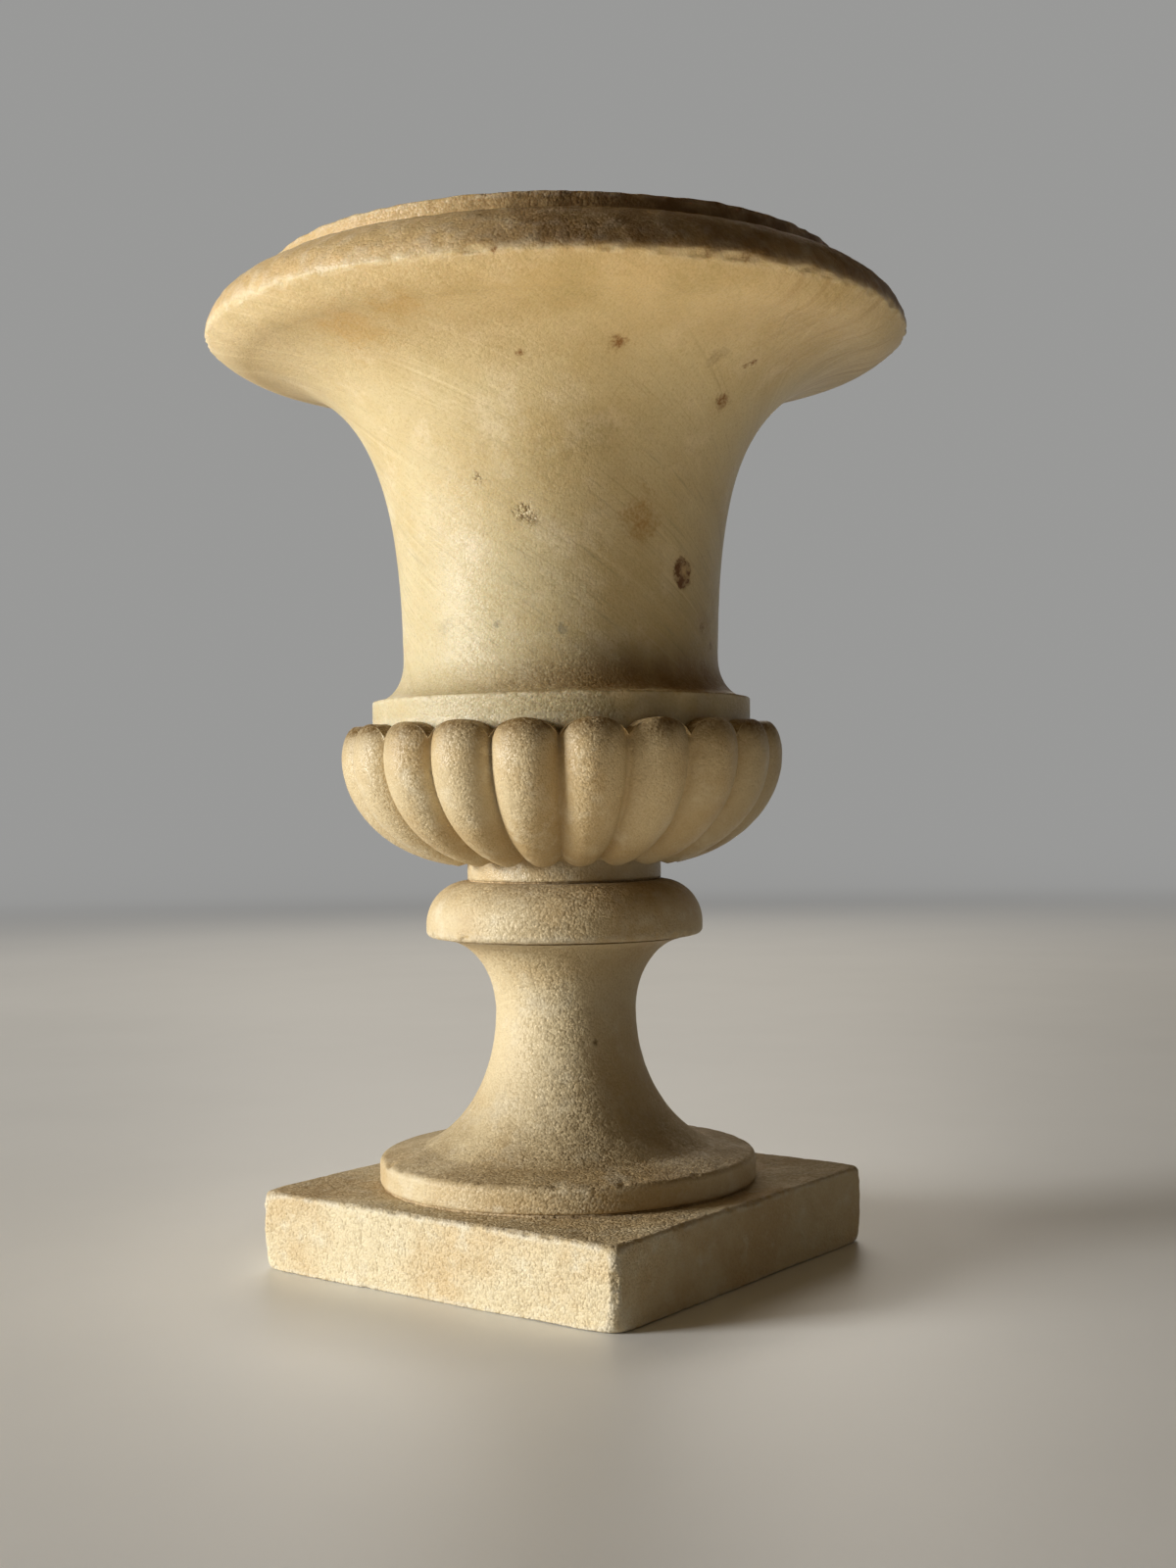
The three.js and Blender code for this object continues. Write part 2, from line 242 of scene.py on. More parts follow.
print("weathering: swells of", SWELL_SIZE / MM, "mm and sand of", SAND_SIZE / MM, "mm")

# %% [markdown]
# Dirt gathers in hollows and edges wear pale. To let the materials know which is which, we smooth a copy
# of the surface and store how far each vertex lies below it (a hollow, positive) or above it (an edge,
# negative).

# %% Hollows and edges
SMOOTHING = 16


def mark_hollows(shape, passes=SMOOTHING):
    """Stores each vertex's depth below the smoothed surface, in millimetres, as the attribute 'hollow'."""
    shape.normal_update()
    shape.verts.index_update()
    places = np.array([vert.co for vert in shape.verts])
    normals = np.array([vert.normal for vert in shape.verts])
    one, other = np.array([[vert.index for vert in edge.verts] for edge in shape.edges]).T
    ends, starts = np.concatenate((one, other)), np.concatenate((other, one))
    neighbours = np.bincount(ends, minlength=len(places))
    smooth = places
    for _ in range(passes):
        sums = [np.bincount(ends, weights=axis[starts], minlength=len(places)) for axis in smooth.T]
        smooth = (np.array(sums) / neighbours).T
    depths = ((smooth - places) * normals).sum(axis=1) / MM
    layer = shape.verts.layers.float.new("hollow")
    for vert, depth in zip(shape.verts, depths):
        vert[layer] = depth


print("hollows are measured from a surface that was smoothed", SMOOTHING, "times")

# %% [markdown]
# ## The bell
# The body is one stone: a plain band that sits on the bowl, a cove, the flaring bell, an overhanging
# rolled lip and a raised ring round the mouth. Inside, the planting well narrows to a flat floor with a
# hole for the tie rod. Rows are drawn close together where the photograph shows crisp edges, and wide
# apart inside.

# %% Bell outline
LIP_RADIUS, BELL_BASE, MOUTH_TOP = extent("bell")
BORE = 6.8
BAND_RADIUS = 77.2
BAND_TOP = 226.4
BAND_EASING = 0.8
WAIST_RADIUS = 64.3
COVE_TOP = 243.0
FLARE_BASE = 246.0
FLARE_TOP = 364.4
LIP_LEVEL = 372.0
LIP_OVERHANG = 8.0
LIP_TURN = 125.0
LIP_QUIRK = 0.8
RING_RADIUS = 115.8
RING_BASE = 393.8
RING_EASING = 1.0
MOUTH_RADIUS = 106.0
MOUTH_DEPTH = 8.0
WELL_RADIUS = 46.3
WELL_FLOOR = 234.0
FLOOR_ROUNDING = 14.0
FLARE_CURVE = ((0.023, 0.432), (0.055, 0.954))
NOSE_CURVE = ((0.5, 0.08), (0.78, 0.56))
OVOLO_CURVE = ((0.0, 0.463), (0.431, 0.872))
WELL_CURVE = ((0.77, 0.31), (0.98, 0.6))

band_edge = at(BAND_RADIUS, BAND_TOP)
flare_start = at(WAIST_RADIUS, FLARE_BASE)
flare_end = at(LIP_RADIUS - LIP_OVERHANG, FLARE_TOP)
nose_end = at(LIP_RADIUS - LIP_QUIRK, LIP_LEVEL - LIP_QUIRK)
lip_edge = at(LIP_RADIUS, LIP_LEVEL)
ring_foot = at(RING_RADIUS, RING_BASE)
ring_edge = at(RING_RADIUS, MOUTH_TOP)
mouth_low = at(MOUTH_RADIUS, MOUTH_TOP - MOUTH_DEPTH)

flare = [point for point in curved(flare_start, flare_end, FLARE_CURVE, 1.7) if point.x < LIP_TURN * MM]
bell_side = drawn(
    at(BAND_RADIUS, BELL_BASE),
    (band_edge - at(0, BAND_EASING), 1.2),
    (band_edge - at(BAND_EASING, 0), 0.5, UP_THEN_OUT),
    (at(WAIST_RADIUS, COVE_TOP), 1.2, OUT_THEN_UP),
    (flare_start, 1.5),
)
bell_side += flare + curved(flare[-1], nose_end, NOSE_CURVE, 1.0)[1:]
bell_side += drawn(nose_end, (lip_edge, 0.6), (ring_foot, 1.2, OVOLO_CURVE))
bell_mouth = drawn(
    ring_foot,
    (ring_edge - at(0, RING_EASING), 0.9),
    (ring_edge - at(RING_EASING, 0), 0.6, UP_THEN_OUT),
    (at(MOUTH_RADIUS + RING_EASING, MOUTH_TOP), 1.6),
    (at(MOUTH_RADIUS, MOUTH_TOP - RING_EASING), 0.8, OUT_THEN_UP),
    (mouth_low, 2.4),
)
bell_well = drawn(
    mouth_low,
    (at(WELL_RADIUS, WELL_FLOOR + FLOOR_ROUNDING), 5, WELL_CURVE),
    (at(WELL_RADIUS - FLOOR_ROUNDING, WELL_FLOOR), 4, UP_THEN_OUT),
    (at(BORE, WELL_FLOOR), 6),
    (at(BORE, BELL_BASE), 8),
    (at(BAND_RADIUS, BELL_BASE), 12),
)
print("bell outline:", len(bell_side), "points outside,", len(bell_mouth + bell_well), "in mouth and well")

# %% [markdown]
# The finished outline is spun in 400 steps, fine enough for a lip almost 90 cm round. The well's points
# are flagged in a layer, so that the material can darken them with soil. The rolled lip is dented all
# over, as if hammered, because rain stands on it. Most chips are small; the ring has lost the most.

# %% Bell
BELL_STEPS = 400
DENT_SIZE = 5.5 * MM
DENT_DEPTH = 0.45 * MM

well_flags = [0.0] * len(bell_side + bell_mouth) + [1.0] * len(bell_well)
bell_shape = turned(bell_side + bell_mouth + bell_well, BELL_STEPS, wedges=10, well=well_flags)
weather(bell_shape, swell=0.28, sand=0.05, seed=1)
well_layer = bell_shape.verts.layers.float["well"]
for vert in bell_shape.verts:
    if vert.co.z > lip_edge.z - MM and not vert[well_layer]:
        vert.co += vert.normal * DENT_DEPTH * noise.noise(vert.co / DENT_SIZE)
chip(bell_shape, [
    *chips_round(26, ring_edge, slant=40, sizes=(4, 13), depths=(0.2, 0.9), seed=11),
    *chips_round(150, lip_edge, slant=-10, sizes=(2, 7), depths=(0.2, 1.0), seed=12),
    *chips_round(60, band_edge, slant=40, sizes=(2, 5), depths=(0.2, 0.8), seed=13),
])
mark_hollows(bell_shape)
bell = placed(bell_shape, "bell_stone", "marble", "bell")

# %% [markdown]
# ## The bowl
# Below the band, twenty gadroons stand like thumbs round the bowl. The carver first turns the stone to
# the line of their crests and then sinks the valleys, and so do we: the crest line is spun, and each
# vertex drops square to the surface by a share that is 0 on a crest and 1 in a valley. The share follows
# a round section, so valleys are sharp.

# %% Bowl outline
GADROON_RADIUS, SPIGOT_LOW, GADROON_TOP = extent("bowl")
SPIGOT = 20.0
NECK_RADIUS = 39.6
NECK_BASE = 153.9
NECK_RISE = 4.2
TIP_LEVEL = 159.9
TIP_REACH = 7.4
TIP_ROOT_REACH = 2.6
TIP_ROOT_RISE = 1.3
GADROON_WIDEST = 203.5
GADROON_ROLL = 6.4
GADROON_CURVE = ((0.655, 0.13), (1.0, 0.575))
SEAT_RADIUS = 77.6
SEAT_LEVEL = 210.9

tip_root = at(NECK_RADIUS + TIP_ROOT_REACH, TIP_LEVEL + TIP_ROOT_RISE)
widest = at(GADROON_RADIUS, GADROON_WIDEST)
roll_end = at(GADROON_RADIUS - GADROON_ROLL, GADROON_TOP)
seat_edge = at(SEAT_RADIUS, GADROON_TOP)

neck = drawn(
    at(BORE, SPIGOT_LOW),
    (at(SPIGOT, SPIGOT_LOW), 7),
    (at(SPIGOT, NECK_BASE), 6),
    (at(NECK_RADIUS, NECK_BASE), 7),
    (at(NECK_RADIUS, TIP_LEVEL + NECK_RISE), 0.9),
    (tip_root, 0.9),
)
crest = drawn(
    tip_root,
    (at(NECK_RADIUS + TIP_REACH, TIP_LEVEL), 0.8),
    (widest, 1.15, GADROON_CURVE),
    (roll_end, 0.9, UP_THEN_OUT),
    (seat_edge, 0.9),
) + [seat_edge]
seat = drawn(at(SEAT_RADIUS, SEAT_LEVEL), (at(BORE, SEAT_LEVEL), 12), (at(BORE, SPIGOT_LOW), 12))
print("bowl outline:", len(neck), "points to the neck,", len(crest), "along a crest")

# %% Bowl
GADROONS = 20
GADROON_DEPTH = 8.4
GADROON_CROWN = 5.5
CROWN_SLOPE = 0.25
GADROON_SECTION = 0.95
GADROON_TURN = math.radians(0.8)
BOWL_STEPS = 24 * GADROONS
UP = Vector((0, 0, 1))


def valley_depth(point):
    """How deep the valley beside this point of the crest is, in millimetres. It shallows to tip and seat."""
    full = GADROON_DEPTH * point.x / widest.x
    if point.z <= widest.z:
        return full
    return min(full, GADROON_CROWN + CROWN_SLOPE * (point.x / MM - SEAT_RADIUS))


def valley_share(angle):
    """0 on a gadroon's crest and 1 in the valley beside it."""
    across = 2 * ((angle - GADROON_TURN) * GADROONS / math.tau % 1.0) - 1
    return (1 - math.sqrt(1 - (GADROON_SECTION * across) ** 2)) / (1 - math.sqrt(1 - GADROON_SECTION ** 2))


sinks = [0.0] * len(neck) + [valley_depth(point) for point in crest] + [0.0] * len(seat)
bowl_shape = turned(neck + crest + seat, BOWL_STEPS, wedges=GADROONS, sink=sinks)
sink = bowl_shape.verts.layers.float["sink"]
bowl_shape.normal_update()
for vert in bowl_shape.verts:
    outward = UP if vert.co.z > roll_end.z - 0.1 * MM else vert.normal
    vert.co -= outward * vert[sink] * valley_share(math.atan2(vert.co.y, vert.co.x)) * MM
bowl_shape.verts.layers.float.remove(sink)
weather(bowl_shape, swell=0.25, sand=0.09, seed=2)
mark_hollows(bowl_shape, 10)
bowl = placed(bowl_shape, "bowl_stone", "marble", "bowl")

# %% [markdown]
# ## The collar
# A torus moulding sits between bowl and stem. Its section is a tall quarter round on a short upright
# face, with a soft lower edge. Sockets above and below take the spigots of its neighbours, so the tie rod
# is not the only thing that keeps the stones in line.

# %% Collar
COLLAR_RADIUS, COLLAR_BASE, COLLAR_TOP = extent("collar")
COLLAR_EASING = 2.4
COLLAR_FACE = 2.4
SOCKET = 20.5
SOCKET_DEPTH = 6.5
COLLAR_STEPS = 360

collar_eased = at(COLLAR_RADIUS, COLLAR_BASE + COLLAR_EASING)
collar_outline = drawn(
    at(SOCKET, COLLAR_BASE),
    (at(COLLAR_RADIUS - COLLAR_EASING, COLLAR_BASE), 5),
    (collar_eased, 0.6, OUT_THEN_UP),
    (at(COLLAR_RADIUS, COLLAR_BASE + COLLAR_EASING + COLLAR_FACE), 0.8),
    (at(NECK_RADIUS, COLLAR_TOP), 0.9, UP_THEN_OUT),
    (at(SOCKET, COLLAR_TOP), 5),
    (at(SOCKET, COLLAR_TOP - SOCKET_DEPTH), 7),
    (at(BORE, COLLAR_TOP - SOCKET_DEPTH), 7),
    (at(BORE, COLLAR_BASE + SOCKET_DEPTH), 7),
    (at(SOCKET, COLLAR_BASE + SOCKET_DEPTH), 7),
    (at(SOCKET, COLLAR_BASE), 7),
)
collar_shape = turned(collar_outline, COLLAR_STEPS, wedges=8)
weather(collar_shape, swell=0.25, sand=0.08, seed=3)
chip(collar_shape, chips_round(16, collar_eased, slant=-45, sizes=(2, 4), depths=(0.2, 0.6), seed=31))
mark_hollows(collar_shape)
collar = placed(collar_shape, "collar_stone", "marble", "collar")

# %% [markdown]
# ## The foot
# Disc, sloping ledge and waisted stem are one stone. The stem is two cubics that meet upright at the
# waist, so the curve has no kink there. The disc's upper edge is rubbed round and nicked.

# %% Foot
FOOT_RADIUS, FOOT_BASE, SPIGOT_TOP = extent("foot")
FOOT_ROUNDING = 3.0
FOOT_SHOULDER = 0.85 * FOOT_ROUNDING
FOOT_EASING = 1.4
DISC_TOP = 42.6
LEDGE_TOP = 45.7
LEDGE_WIDTH = 18.6
STEM_WAIST_RADIUS = 28.6
STEM_WAIST = 100.0
STEM_TOP_RADIUS = 50.0
STEM_TOP = 129.9
STEM_LOWER_CURVE = ((0.67, 0.18), (1.0, 0.59))
STEM_UPPER_CURVE = ((0.0, 0.42), (0.31, 0.93))
FOOT_STEPS = 400

disc_edge = at(FOOT_RADIUS - FOOT_SHOULDER, DISC_TOP)
foot_outline = drawn(
    at(BORE, FOOT_BASE),
    (at(FOOT_RADIUS - FOOT_EASING, FOOT_BASE), 10),
    (at(FOOT_RADIUS, FOOT_BASE + FOOT_EASING), 0.5, OUT_THEN_UP),
    (at(FOOT_RADIUS, DISC_TOP - FOOT_ROUNDING), 0.9),
    (disc_edge, 0.6, UP_THEN_OUT),
    (at(FOOT_RADIUS - LEDGE_WIDTH, LEDGE_TOP), 1.5),
    (at(STEM_WAIST_RADIUS, STEM_WAIST), 1.6, STEM_LOWER_CURVE),
    (at(STEM_TOP_RADIUS, STEM_TOP), 1.4, STEM_UPPER_CURVE),
    (at(SPIGOT, STEM_TOP), 8),
    (at(SPIGOT, SPIGOT_TOP), 6),
    (at(BORE, SPIGOT_TOP), 7),
    (at(BORE, FOOT_BASE), 14),
)
foot_shape = turned(foot_outline, FOOT_STEPS, wedges=10)
weather(foot_shape, swell=0.3, sand=0.09, seed=4)
chip(foot_shape, chips_round(18, disc_edge, slant=55, sizes=(2, 5), depths=(0.2, 0.7), seed=41))
mark_hollows(foot_shape)
foot = placed(foot_shape, "foot_stone", "marble", "foot")

# %% [markdown]
# ## The plinth
# The slab starts as a cube, cut into small tiles so that there are vertices to wear and chip. The tiles
# crowd towards the edges, where a sine spaces them closely. The middle, out of sight under the foot, is
# taken out above and below, and bridge_loops joins the holes to the rod's bore and to the recess for the
# nut.

# %% Plinth block
plinth_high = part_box("plinth")[1]
PLINTH_HALF = plinth_high.x
PLINTH_TOP = plinth_high.z
PLINTH_TILES = 140
PLINTH_ROWS = 22
CROWDING = 0.75 * math.pi / 2

plinth_shape = bmesh.new()
bmesh.ops.create_cube(plinth_shape, size=2.0)
for axis, tiles in ((2, PLINTH_ROWS), (0, PLINTH_TILES), (1, PLINTH_TILES)):
    along = [edge for edge in plinth_shape.edges if abs(edge.verts[0].co[axis] - edge.verts[1].co[axis]) > 1]
    bmesh.ops.subdivide_edges(plinth_shape, edges=along, cuts=tiles - 1, use_grid_fill=True)
for vert in plinth_shape.verts:
    vert.co = [math.sin(CROWDING * share) / math.sin(CROWDING) for share in vert.co]
bmesh.ops.translate(plinth_shape, verts=plinth_shape.verts, vec=UP)
bmesh.ops.scale(plinth_shape, verts=plinth_shape.verts, vec=(PLINTH_HALF, PLINTH_HALF, PLINTH_TOP / 2))
print("plinth block:", len(plinth_shape.faces), "tiles")

# %% Plinth bore and recess
PLINTH_HIDDEN = 44 * MM
RECESS_RADIUS = 18.7 * MM
RECESS_DEPTH = 19 * MM
RIMS = ((RECESS_RADIUS, 0), (RECESS_RADIUS, RECESS_DEPTH), (BORE * MM, RECESS_DEPTH), (BORE * MM, PLINTH_TOP))


def rim(shape, segments, radius, level):
    """A bare circle of edges, to bridge to."""
    lift = Matrix.Translation((0, 0, level))
    ring = set(bmesh.ops.create_circle(shape, segments=segments, radius=radius, matrix=lift)["verts"])
    return [edge for edge in shape.edges if set(edge.verts) <= ring]


hidden = [face for face in plinth_shape.faces
          if max(map(abs, face.calc_center_median().xy)) < PLINTH_HIDDEN]
bmesh.ops.delete(plinth_shape, geom=hidden, context="FACES")
holes = [edge for edge in plinth_shape.edges if edge.is_boundary]
under = [edge for edge in holes if edge.verts[0].co.z < PLINTH_TOP / 2]
over = [edge for edge in holes if edge.verts[0].co.z > PLINTH_TOP / 2]
loops = [under, *(rim(plinth_shape, len(under), radius, level) for radius, level in RIMS), over]
for one, other in zip(loops, loops[1:]):
    bmesh.ops.bridge_loops(plinth_shape, edges=one + other)
bmesh.ops.recalc_face_normals(plinth_shape, faces=plinth_shape.faces)
print("plinth with its bore:", len(plinth_shape.faces), "faces")

# %% [markdown]
# Feet and barrows have rounded the slab, most of all at the foot of its corners. A bevel is the same all
# along an edge, so the rounding is done by moving vertices: a square corner is mapped to a quarter round
# whose size grows towards the floor and towards the corners. Chips follow along the edges.

# %% Plinth wear
CORNER_ROUND = 3.4 * MM
CORNER_FOOT = 3.4 * MM
CORNER_FOOT_HEIGHT = 13 * MM
CORNER_REACH = 15 * MM
TOP_EASING = 1.6 * MM
TOP_CORNER_EASING = 3.8 * MM
FLOOR_EASING = 0.7 * MM
FLOOR_CORNER_EASING = 2.8 * MM


def fade(value, start, end):
    """A smooth step from 0 at start to 1 at end."""
    share = min(max((value - start) / (end - start), 0.0), 1.0)
    return share * share * (3 - 2 * share)


def quarter_round(one, other):
    """Maps a square corner to a quarter round. Both are distances past the start of the rounding."""
    if min(one, other) <= 0:
        return one, other
    shrink = max(one, other) / math.hypot(one, other)
    return one * shrink, other * shrink


def rubbed_round(place):
    """Where a point of the sharp block ends up when its corners and edges are rubbed round."""
    x, y, z = place
    corner = CORNER_ROUND + CORNER_FOOT * fade(z, CORNER_FOOT_HEIGHT, 0)
    start = PLINTH_HALF - corner
    past_x, past_y = quarter_round(abs(x) - start, abs(y) - start)
    near = fade(min(abs(x), abs(y)), PLINTH_HALF - CORNER_REACH, PLINTH_HALF)
    for level, way, easing, at_corner in ((PLINTH_TOP, 1, TOP_EASING, TOP_CORNER_EASING),
                                          (0, -1, FLOOR_EASING, FLOOR_CORNER_EASING)):
        easing += (at_corner - easing) * near
        reach = math.hypot(max(past_x, 0), max(past_y, 0))
        out, up = reach - corner + easing, way * (z - level) + easing
        new_out, new_up = quarter_round(out, up)
        if new_out != out:
            draw_in = (reach + new_out - out) / reach
            past_x *= draw_in if past_x > 0 else 1
            past_y *= draw_in if past_y > 0 else 1
            z += way * (new_up - up)
    return Vector((math.copysign(start + past_x, x), math.copysign(start + past_y, y), z))


for vert in plinth_shape.verts:
    vert.co = rubbed_round(vert.co)
edge_point = rubbed_round(Vector((PLINTH_HALF, 0, PLINTH_TOP))) / MM
print("the middle of a top edge is rubbed to", [round(value, 2) for value in edge_point], "mm")


# %% Plinth chips
def chips_along(count, start, end, outward, sizes, depths, seed):
    """Chips at random along a straight edge."""
    draw = random.Random(seed)
    for _ in range(count):
        lean = Vector([draw.uniform(-0.3, 0.3) for _ in range(3)])
        place = start.lerp(end, draw.uniform(0.0, 1.0))
        yield place, (outward + lean).normalized(), draw.uniform(*sizes) * MM, draw.uniform(*depths) * MM


LEFT_NOTCHES = ((27, 2.4, 0.7), (20, 1.8, 0.9), (18, 2.2, 0.6), (7, 3.0, 0.8))
CORNER_CUT = (CORNER_ROUND / PLINTH_HALF) * (1 - math.sqrt(0.5))

corners = [Vector((x, y, 0)) * PLINTH_HALF for x, y in ((-1, -1), (1, -1), (1, 1), (-1, 1))]
lift = UP * PLINTH_TOP
plinth_chips = []
for side, (start, end) in enumerate(zip(corners, corners[1:] + corners[:1])):
    away = (start + end).normalized()
    plinth_chips += chips_along(32, start + lift, end + lift, away + UP, (2, 6), (0.5, 1.2), seed=51 + side)
    plinth_chips += chips_along(16, start, end, away - UP, (1.5, 4), (0.3, 0.9), seed=61 + side)
    rounded = start * (1 - CORNER_CUT)
    plinth_chips += chips_along(9, rounded, rounded + lift, start.normalized(), (3, 7), (0.3, 1.0),
                                seed=71 + side)
for level, ball, depth in LEFT_NOTCHES:
    place = rubbed_round(corners[0] + UP * level * MM)
    plinth_chips.append((place, corners[0].normalized(), ball * MM, depth * MM))
weather(plinth_shape, swell=0.45, sand=0.12, seed=5)
chip(plinth_shape, plinth_chips)
for vert in plinth_shape.verts:
    vert.co.z = max(vert.co.z, 0.0)
mark_hollows(plinth_shape, 14)
plinth = placed(plinth_shape, "plinth_stone", "marble", "plinth")

# %% [markdown]
# ## Mortar beds
# Each joint holds a thin bed of lime mortar, smeared almost flush with the faces. An even ring would look
# machined, so the bed is turned, and its rim then wanders in and out where it has crumbled.

# %% Mortar
UPRIGHT = ((0.0, 0.3), (0.0, 0.7))
MORTAR_SMEAR = 1.1
MORTAR_CRUMBLE = 0.5
CRUMB_SIZE = 9 * MM


def flat_ring(inner, outer, base, top, spacing, rim_spacing, segments):
    """A flat ring, with its points closer together on its rim."""
    return turned(drawn(at(inner, base), (at(outer, base), spacing), (at(outer, top), rim_spacing, UPRIGHT),
                        (at(inner, top), spacing), (at(inner, base), 1)), segments)


for name in ("plinth_mortar", "collar_mortar", "neck_mortar", "bowl_mortar"):
    outer, base, top = extent(name)
    inner = SOCKET if name in ("collar_mortar", "neck_mortar") else BORE
    bed = flat_ring(inner, outer, base, top, 20, 0.2, 180)
    for vert in bed.verts:
        if vert.co.xy.length > (outer - 0.5) * MM:
            wander = noise.fractal(vert.co / CRUMB_SIZE, 1.0, 2.0, 4)
            vert.co.xy *= 1 + (MORTAR_SMEAR + MORTAR_CRUMBLE * wander) * MM / vert.co.xy.length
    placed(bed, name + "_bed", "mortar", name)

# %% [markdown]
# ## The tie rod and its fittings
# A forged rod runs through all five stones, with a nut, a plate and a leather packing at each end. The
# nut is turned with a chamfer, and its side is then planed to a hexagon by pulling each vertex in to the
# flats.

# %% Nuts
ROD_RADIUS = 6.0
NUT_CLEARANCE = 0.3
NUT_CHAMFER = 1.6
NUT_FACE = 0.4


def nut(name):
    """A forged hexagon nut."""
    corner, base, top = extent(name)
    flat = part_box(name)[1].y / MM
    hole = ROD_RADIUS + NUT_CLEARANCE
    shape = turned(drawn(
        at(hole, base),
        (at(flat - NUT_FACE, base), 1.5),
        (at(corner, base + NUT_CHAMFER), 0.5),
        (at(corner, top - NUT_CHAMFER), 1.0),
        (at(flat - NUT_FACE, top), 0.5),
        (at(hole, top), 1.5),
        (at(hole, base), 1.0),
    ), 72)
    for vert in shape.verts:
        angle = math.atan2(vert.co.y, vert.co.x) % (math.tau / 6) - math.tau / 12
        limit = flat * MM / math.cos(angle)
        if vert.co.xy.length > limit:
            vert.co.xy *= limit / vert.co.xy.length
    weather(shape, swell=0.12, sand=0.06, seed=6)
    return shape


# %% [markdown]
# A plate washer is a turned disc with eased edges. Under it lies a packing of leather, cut by hand, so
# its rim wanders.

# %% Plates and packings
PLATE_EASING = 0.8
PLATE_UNDERSIDE = 0.5
PACKING_WANDER = 0.5 * MM
KNIFE_SIZE = 5 * MM


def plate(name):
    """A plate washer."""
    outer, base, top = extent(name)
    shape = turned(drawn(
        at(BORE, base),
        (at(outer - PLATE_UNDERSIDE, base), 2),
        (at(outer, base + PLATE_EASING), 0.4, OUT_THEN_UP),
        (at(outer, top - PLATE_EASING), 0.5),
        (at(outer - PLATE_EASING, top), 0.4, UP_THEN_OUT),
        (at(BORE, top), 1),
        (at(BORE, base), 1.5),
    ), 96)
    weather(shape, swell=0.15, sand=0.1, seed=7)
    return shape


def packing(name):
    """A ring of leather."""
    outer, base, top = extent(name)
    shape = flat_ring(BORE, outer, base, top, 2, 0.3, 96)
    for vert in shape.verts:
        if vert.co.xy.length > (outer - 0.3) * MM:
            vert.co.xy *= 1 + PACKING_WANDER * noise.noise(vert.co / KNIFE_SIZE) / vert.co.xy.length
    return shape


for end in ("base", "floor"):
    placed(nut(end + "_nut"), end + "_nut_iron", "iron", end + "_nut")
    placed(plate(end + "_plate"), end + "_plate_iron", "iron", end + "_plate")
    placed(packing(end + "_packing"), end + "_packing_leather", "leather", end + "_packing")

# %% [markdown]
# The rod's thread is a spiral groove: each vertex of its ends moves in by its height plus its share of a
# turn.

# %% Tie rod
PITCH = 2.0
THREAD_DEPTH = 0.55
THREAD_REACH = 19.0
ROD_CHAMFER = 0.8

_, base, top = extent("tie_rod")
rod = turned(drawn(
    at(0, base),
    (at(ROD_RADIUS - ROD_CHAMFER, base), 2),
    (at(ROD_RADIUS, base + ROD_CHAMFER), 0.4),
    (at(ROD_RADIUS, base + THREAD_REACH), 0.25),
    (at(ROD_RADIUS, top - THREAD_REACH), 6),
    (at(ROD_RADIUS, top - ROD_CHAMFER), 0.25),
    (at(ROD_RADIUS - ROD_CHAMFER, top), 0.4),
    (at(0, top), 2),
) + [at(0, top)], 48, closed=False)
for vert in rod.verts:
    level = vert.co.z / MM
    threaded = level < base + THREAD_REACH or level > top - THREAD_REACH
    if threaded and vert.co.xy.length > (ROD_RADIUS - 0.1) * MM:
        turn = (level / PITCH - math.atan2(vert.co.y, vert.co.x) / math.tau) % 1.0
        vert.co.xy *= 1 - THREAD_DEPTH * abs(2 * turn - 1) / ROD_RADIUS
placed(rod, "tie_rod_iron", "iron", "tie_rod")

# %% [markdown]
# ## Node helpers
# Every finish below is a tree of shader nodes. A few small helpers keep the trees readable: one adds a
# node and links or sets its inputs, others wrap the nodes used most (Mix, Math, a smooth Map Range and
# Noise), and the last starts a node group.

# %% Node helpers
def node(tree, kind, inputs=(), **settings):
    """Adds a node. Each input is a socket to link from, or a value to set."""
    made = tree.nodes.new("ShaderNode" + kind)
    for name, value in settings.items():
        setattr(made, name, value)
    for name, value in dict(inputs).items():
        if isinstance(value, bpy.types.NodeSocket):
            tree.links.new(value, made.inputs[name])
        else:
            made.inputs[name].default_value = value
    return made


def mixed(tree, mask, under, over, blend="MIX"):
    """One colour laid over another through a mask."""
    return node(tree, "Mix", {0: mask, 6: under, 7: over}, data_type="RGBA", blend_type=blend).outputs[2]


def maths(tree, operation, first, second=0.0, third=0.0):
    return node(tree, "Math", {0: first, 1: second, 2: third}, operation=operation).outputs[0]


def times(tree, first, second):
    return maths(tree, "MULTIPLY", first, second)


def vector(tree, operation, first, second=(0.0, 0.0, 0.0)):
    """A Vector Math node's outputs: 0 is a vector, 1 a value."""
    return node(tree, "VectorMath", {0: first, 1: second}, operation=operation).outputs


def ranged(tree, value, low, high, result_low=0.0, result_high=1.0):
    """A smooth step: result_low at low, result_high at high."""
    inputs = {"Value": value, "From Min": low, "From Max": high, "To Min": result_low, "To Max": result_high}
    return node(tree, "MapRange", inputs, interpolation_type="SMOOTHSTEP").outputs[0]


def fine_noise(tree, place, scale, detail, roughness):
    inputs = {"Vector": place, "Scale": scale, "Detail": detail, "Roughness": roughness}
    return node(tree, "TexNoise", inputs).outputs[0]


def clouds(tree, place, size, detail=4.0, roughness=0.6):
    """Soft noise whose lumps are about this size, in metres."""
    return fine_noise(tree, place, 1.0 / size, detail, roughness)


def rgb(red, green, blue):
    return (red, green, blue, 1.0)


HERE = (0.0, 0.0, 0.0)
FLOAT, COLOUR = "NodeSocketFloat", "NodeSocketColor"


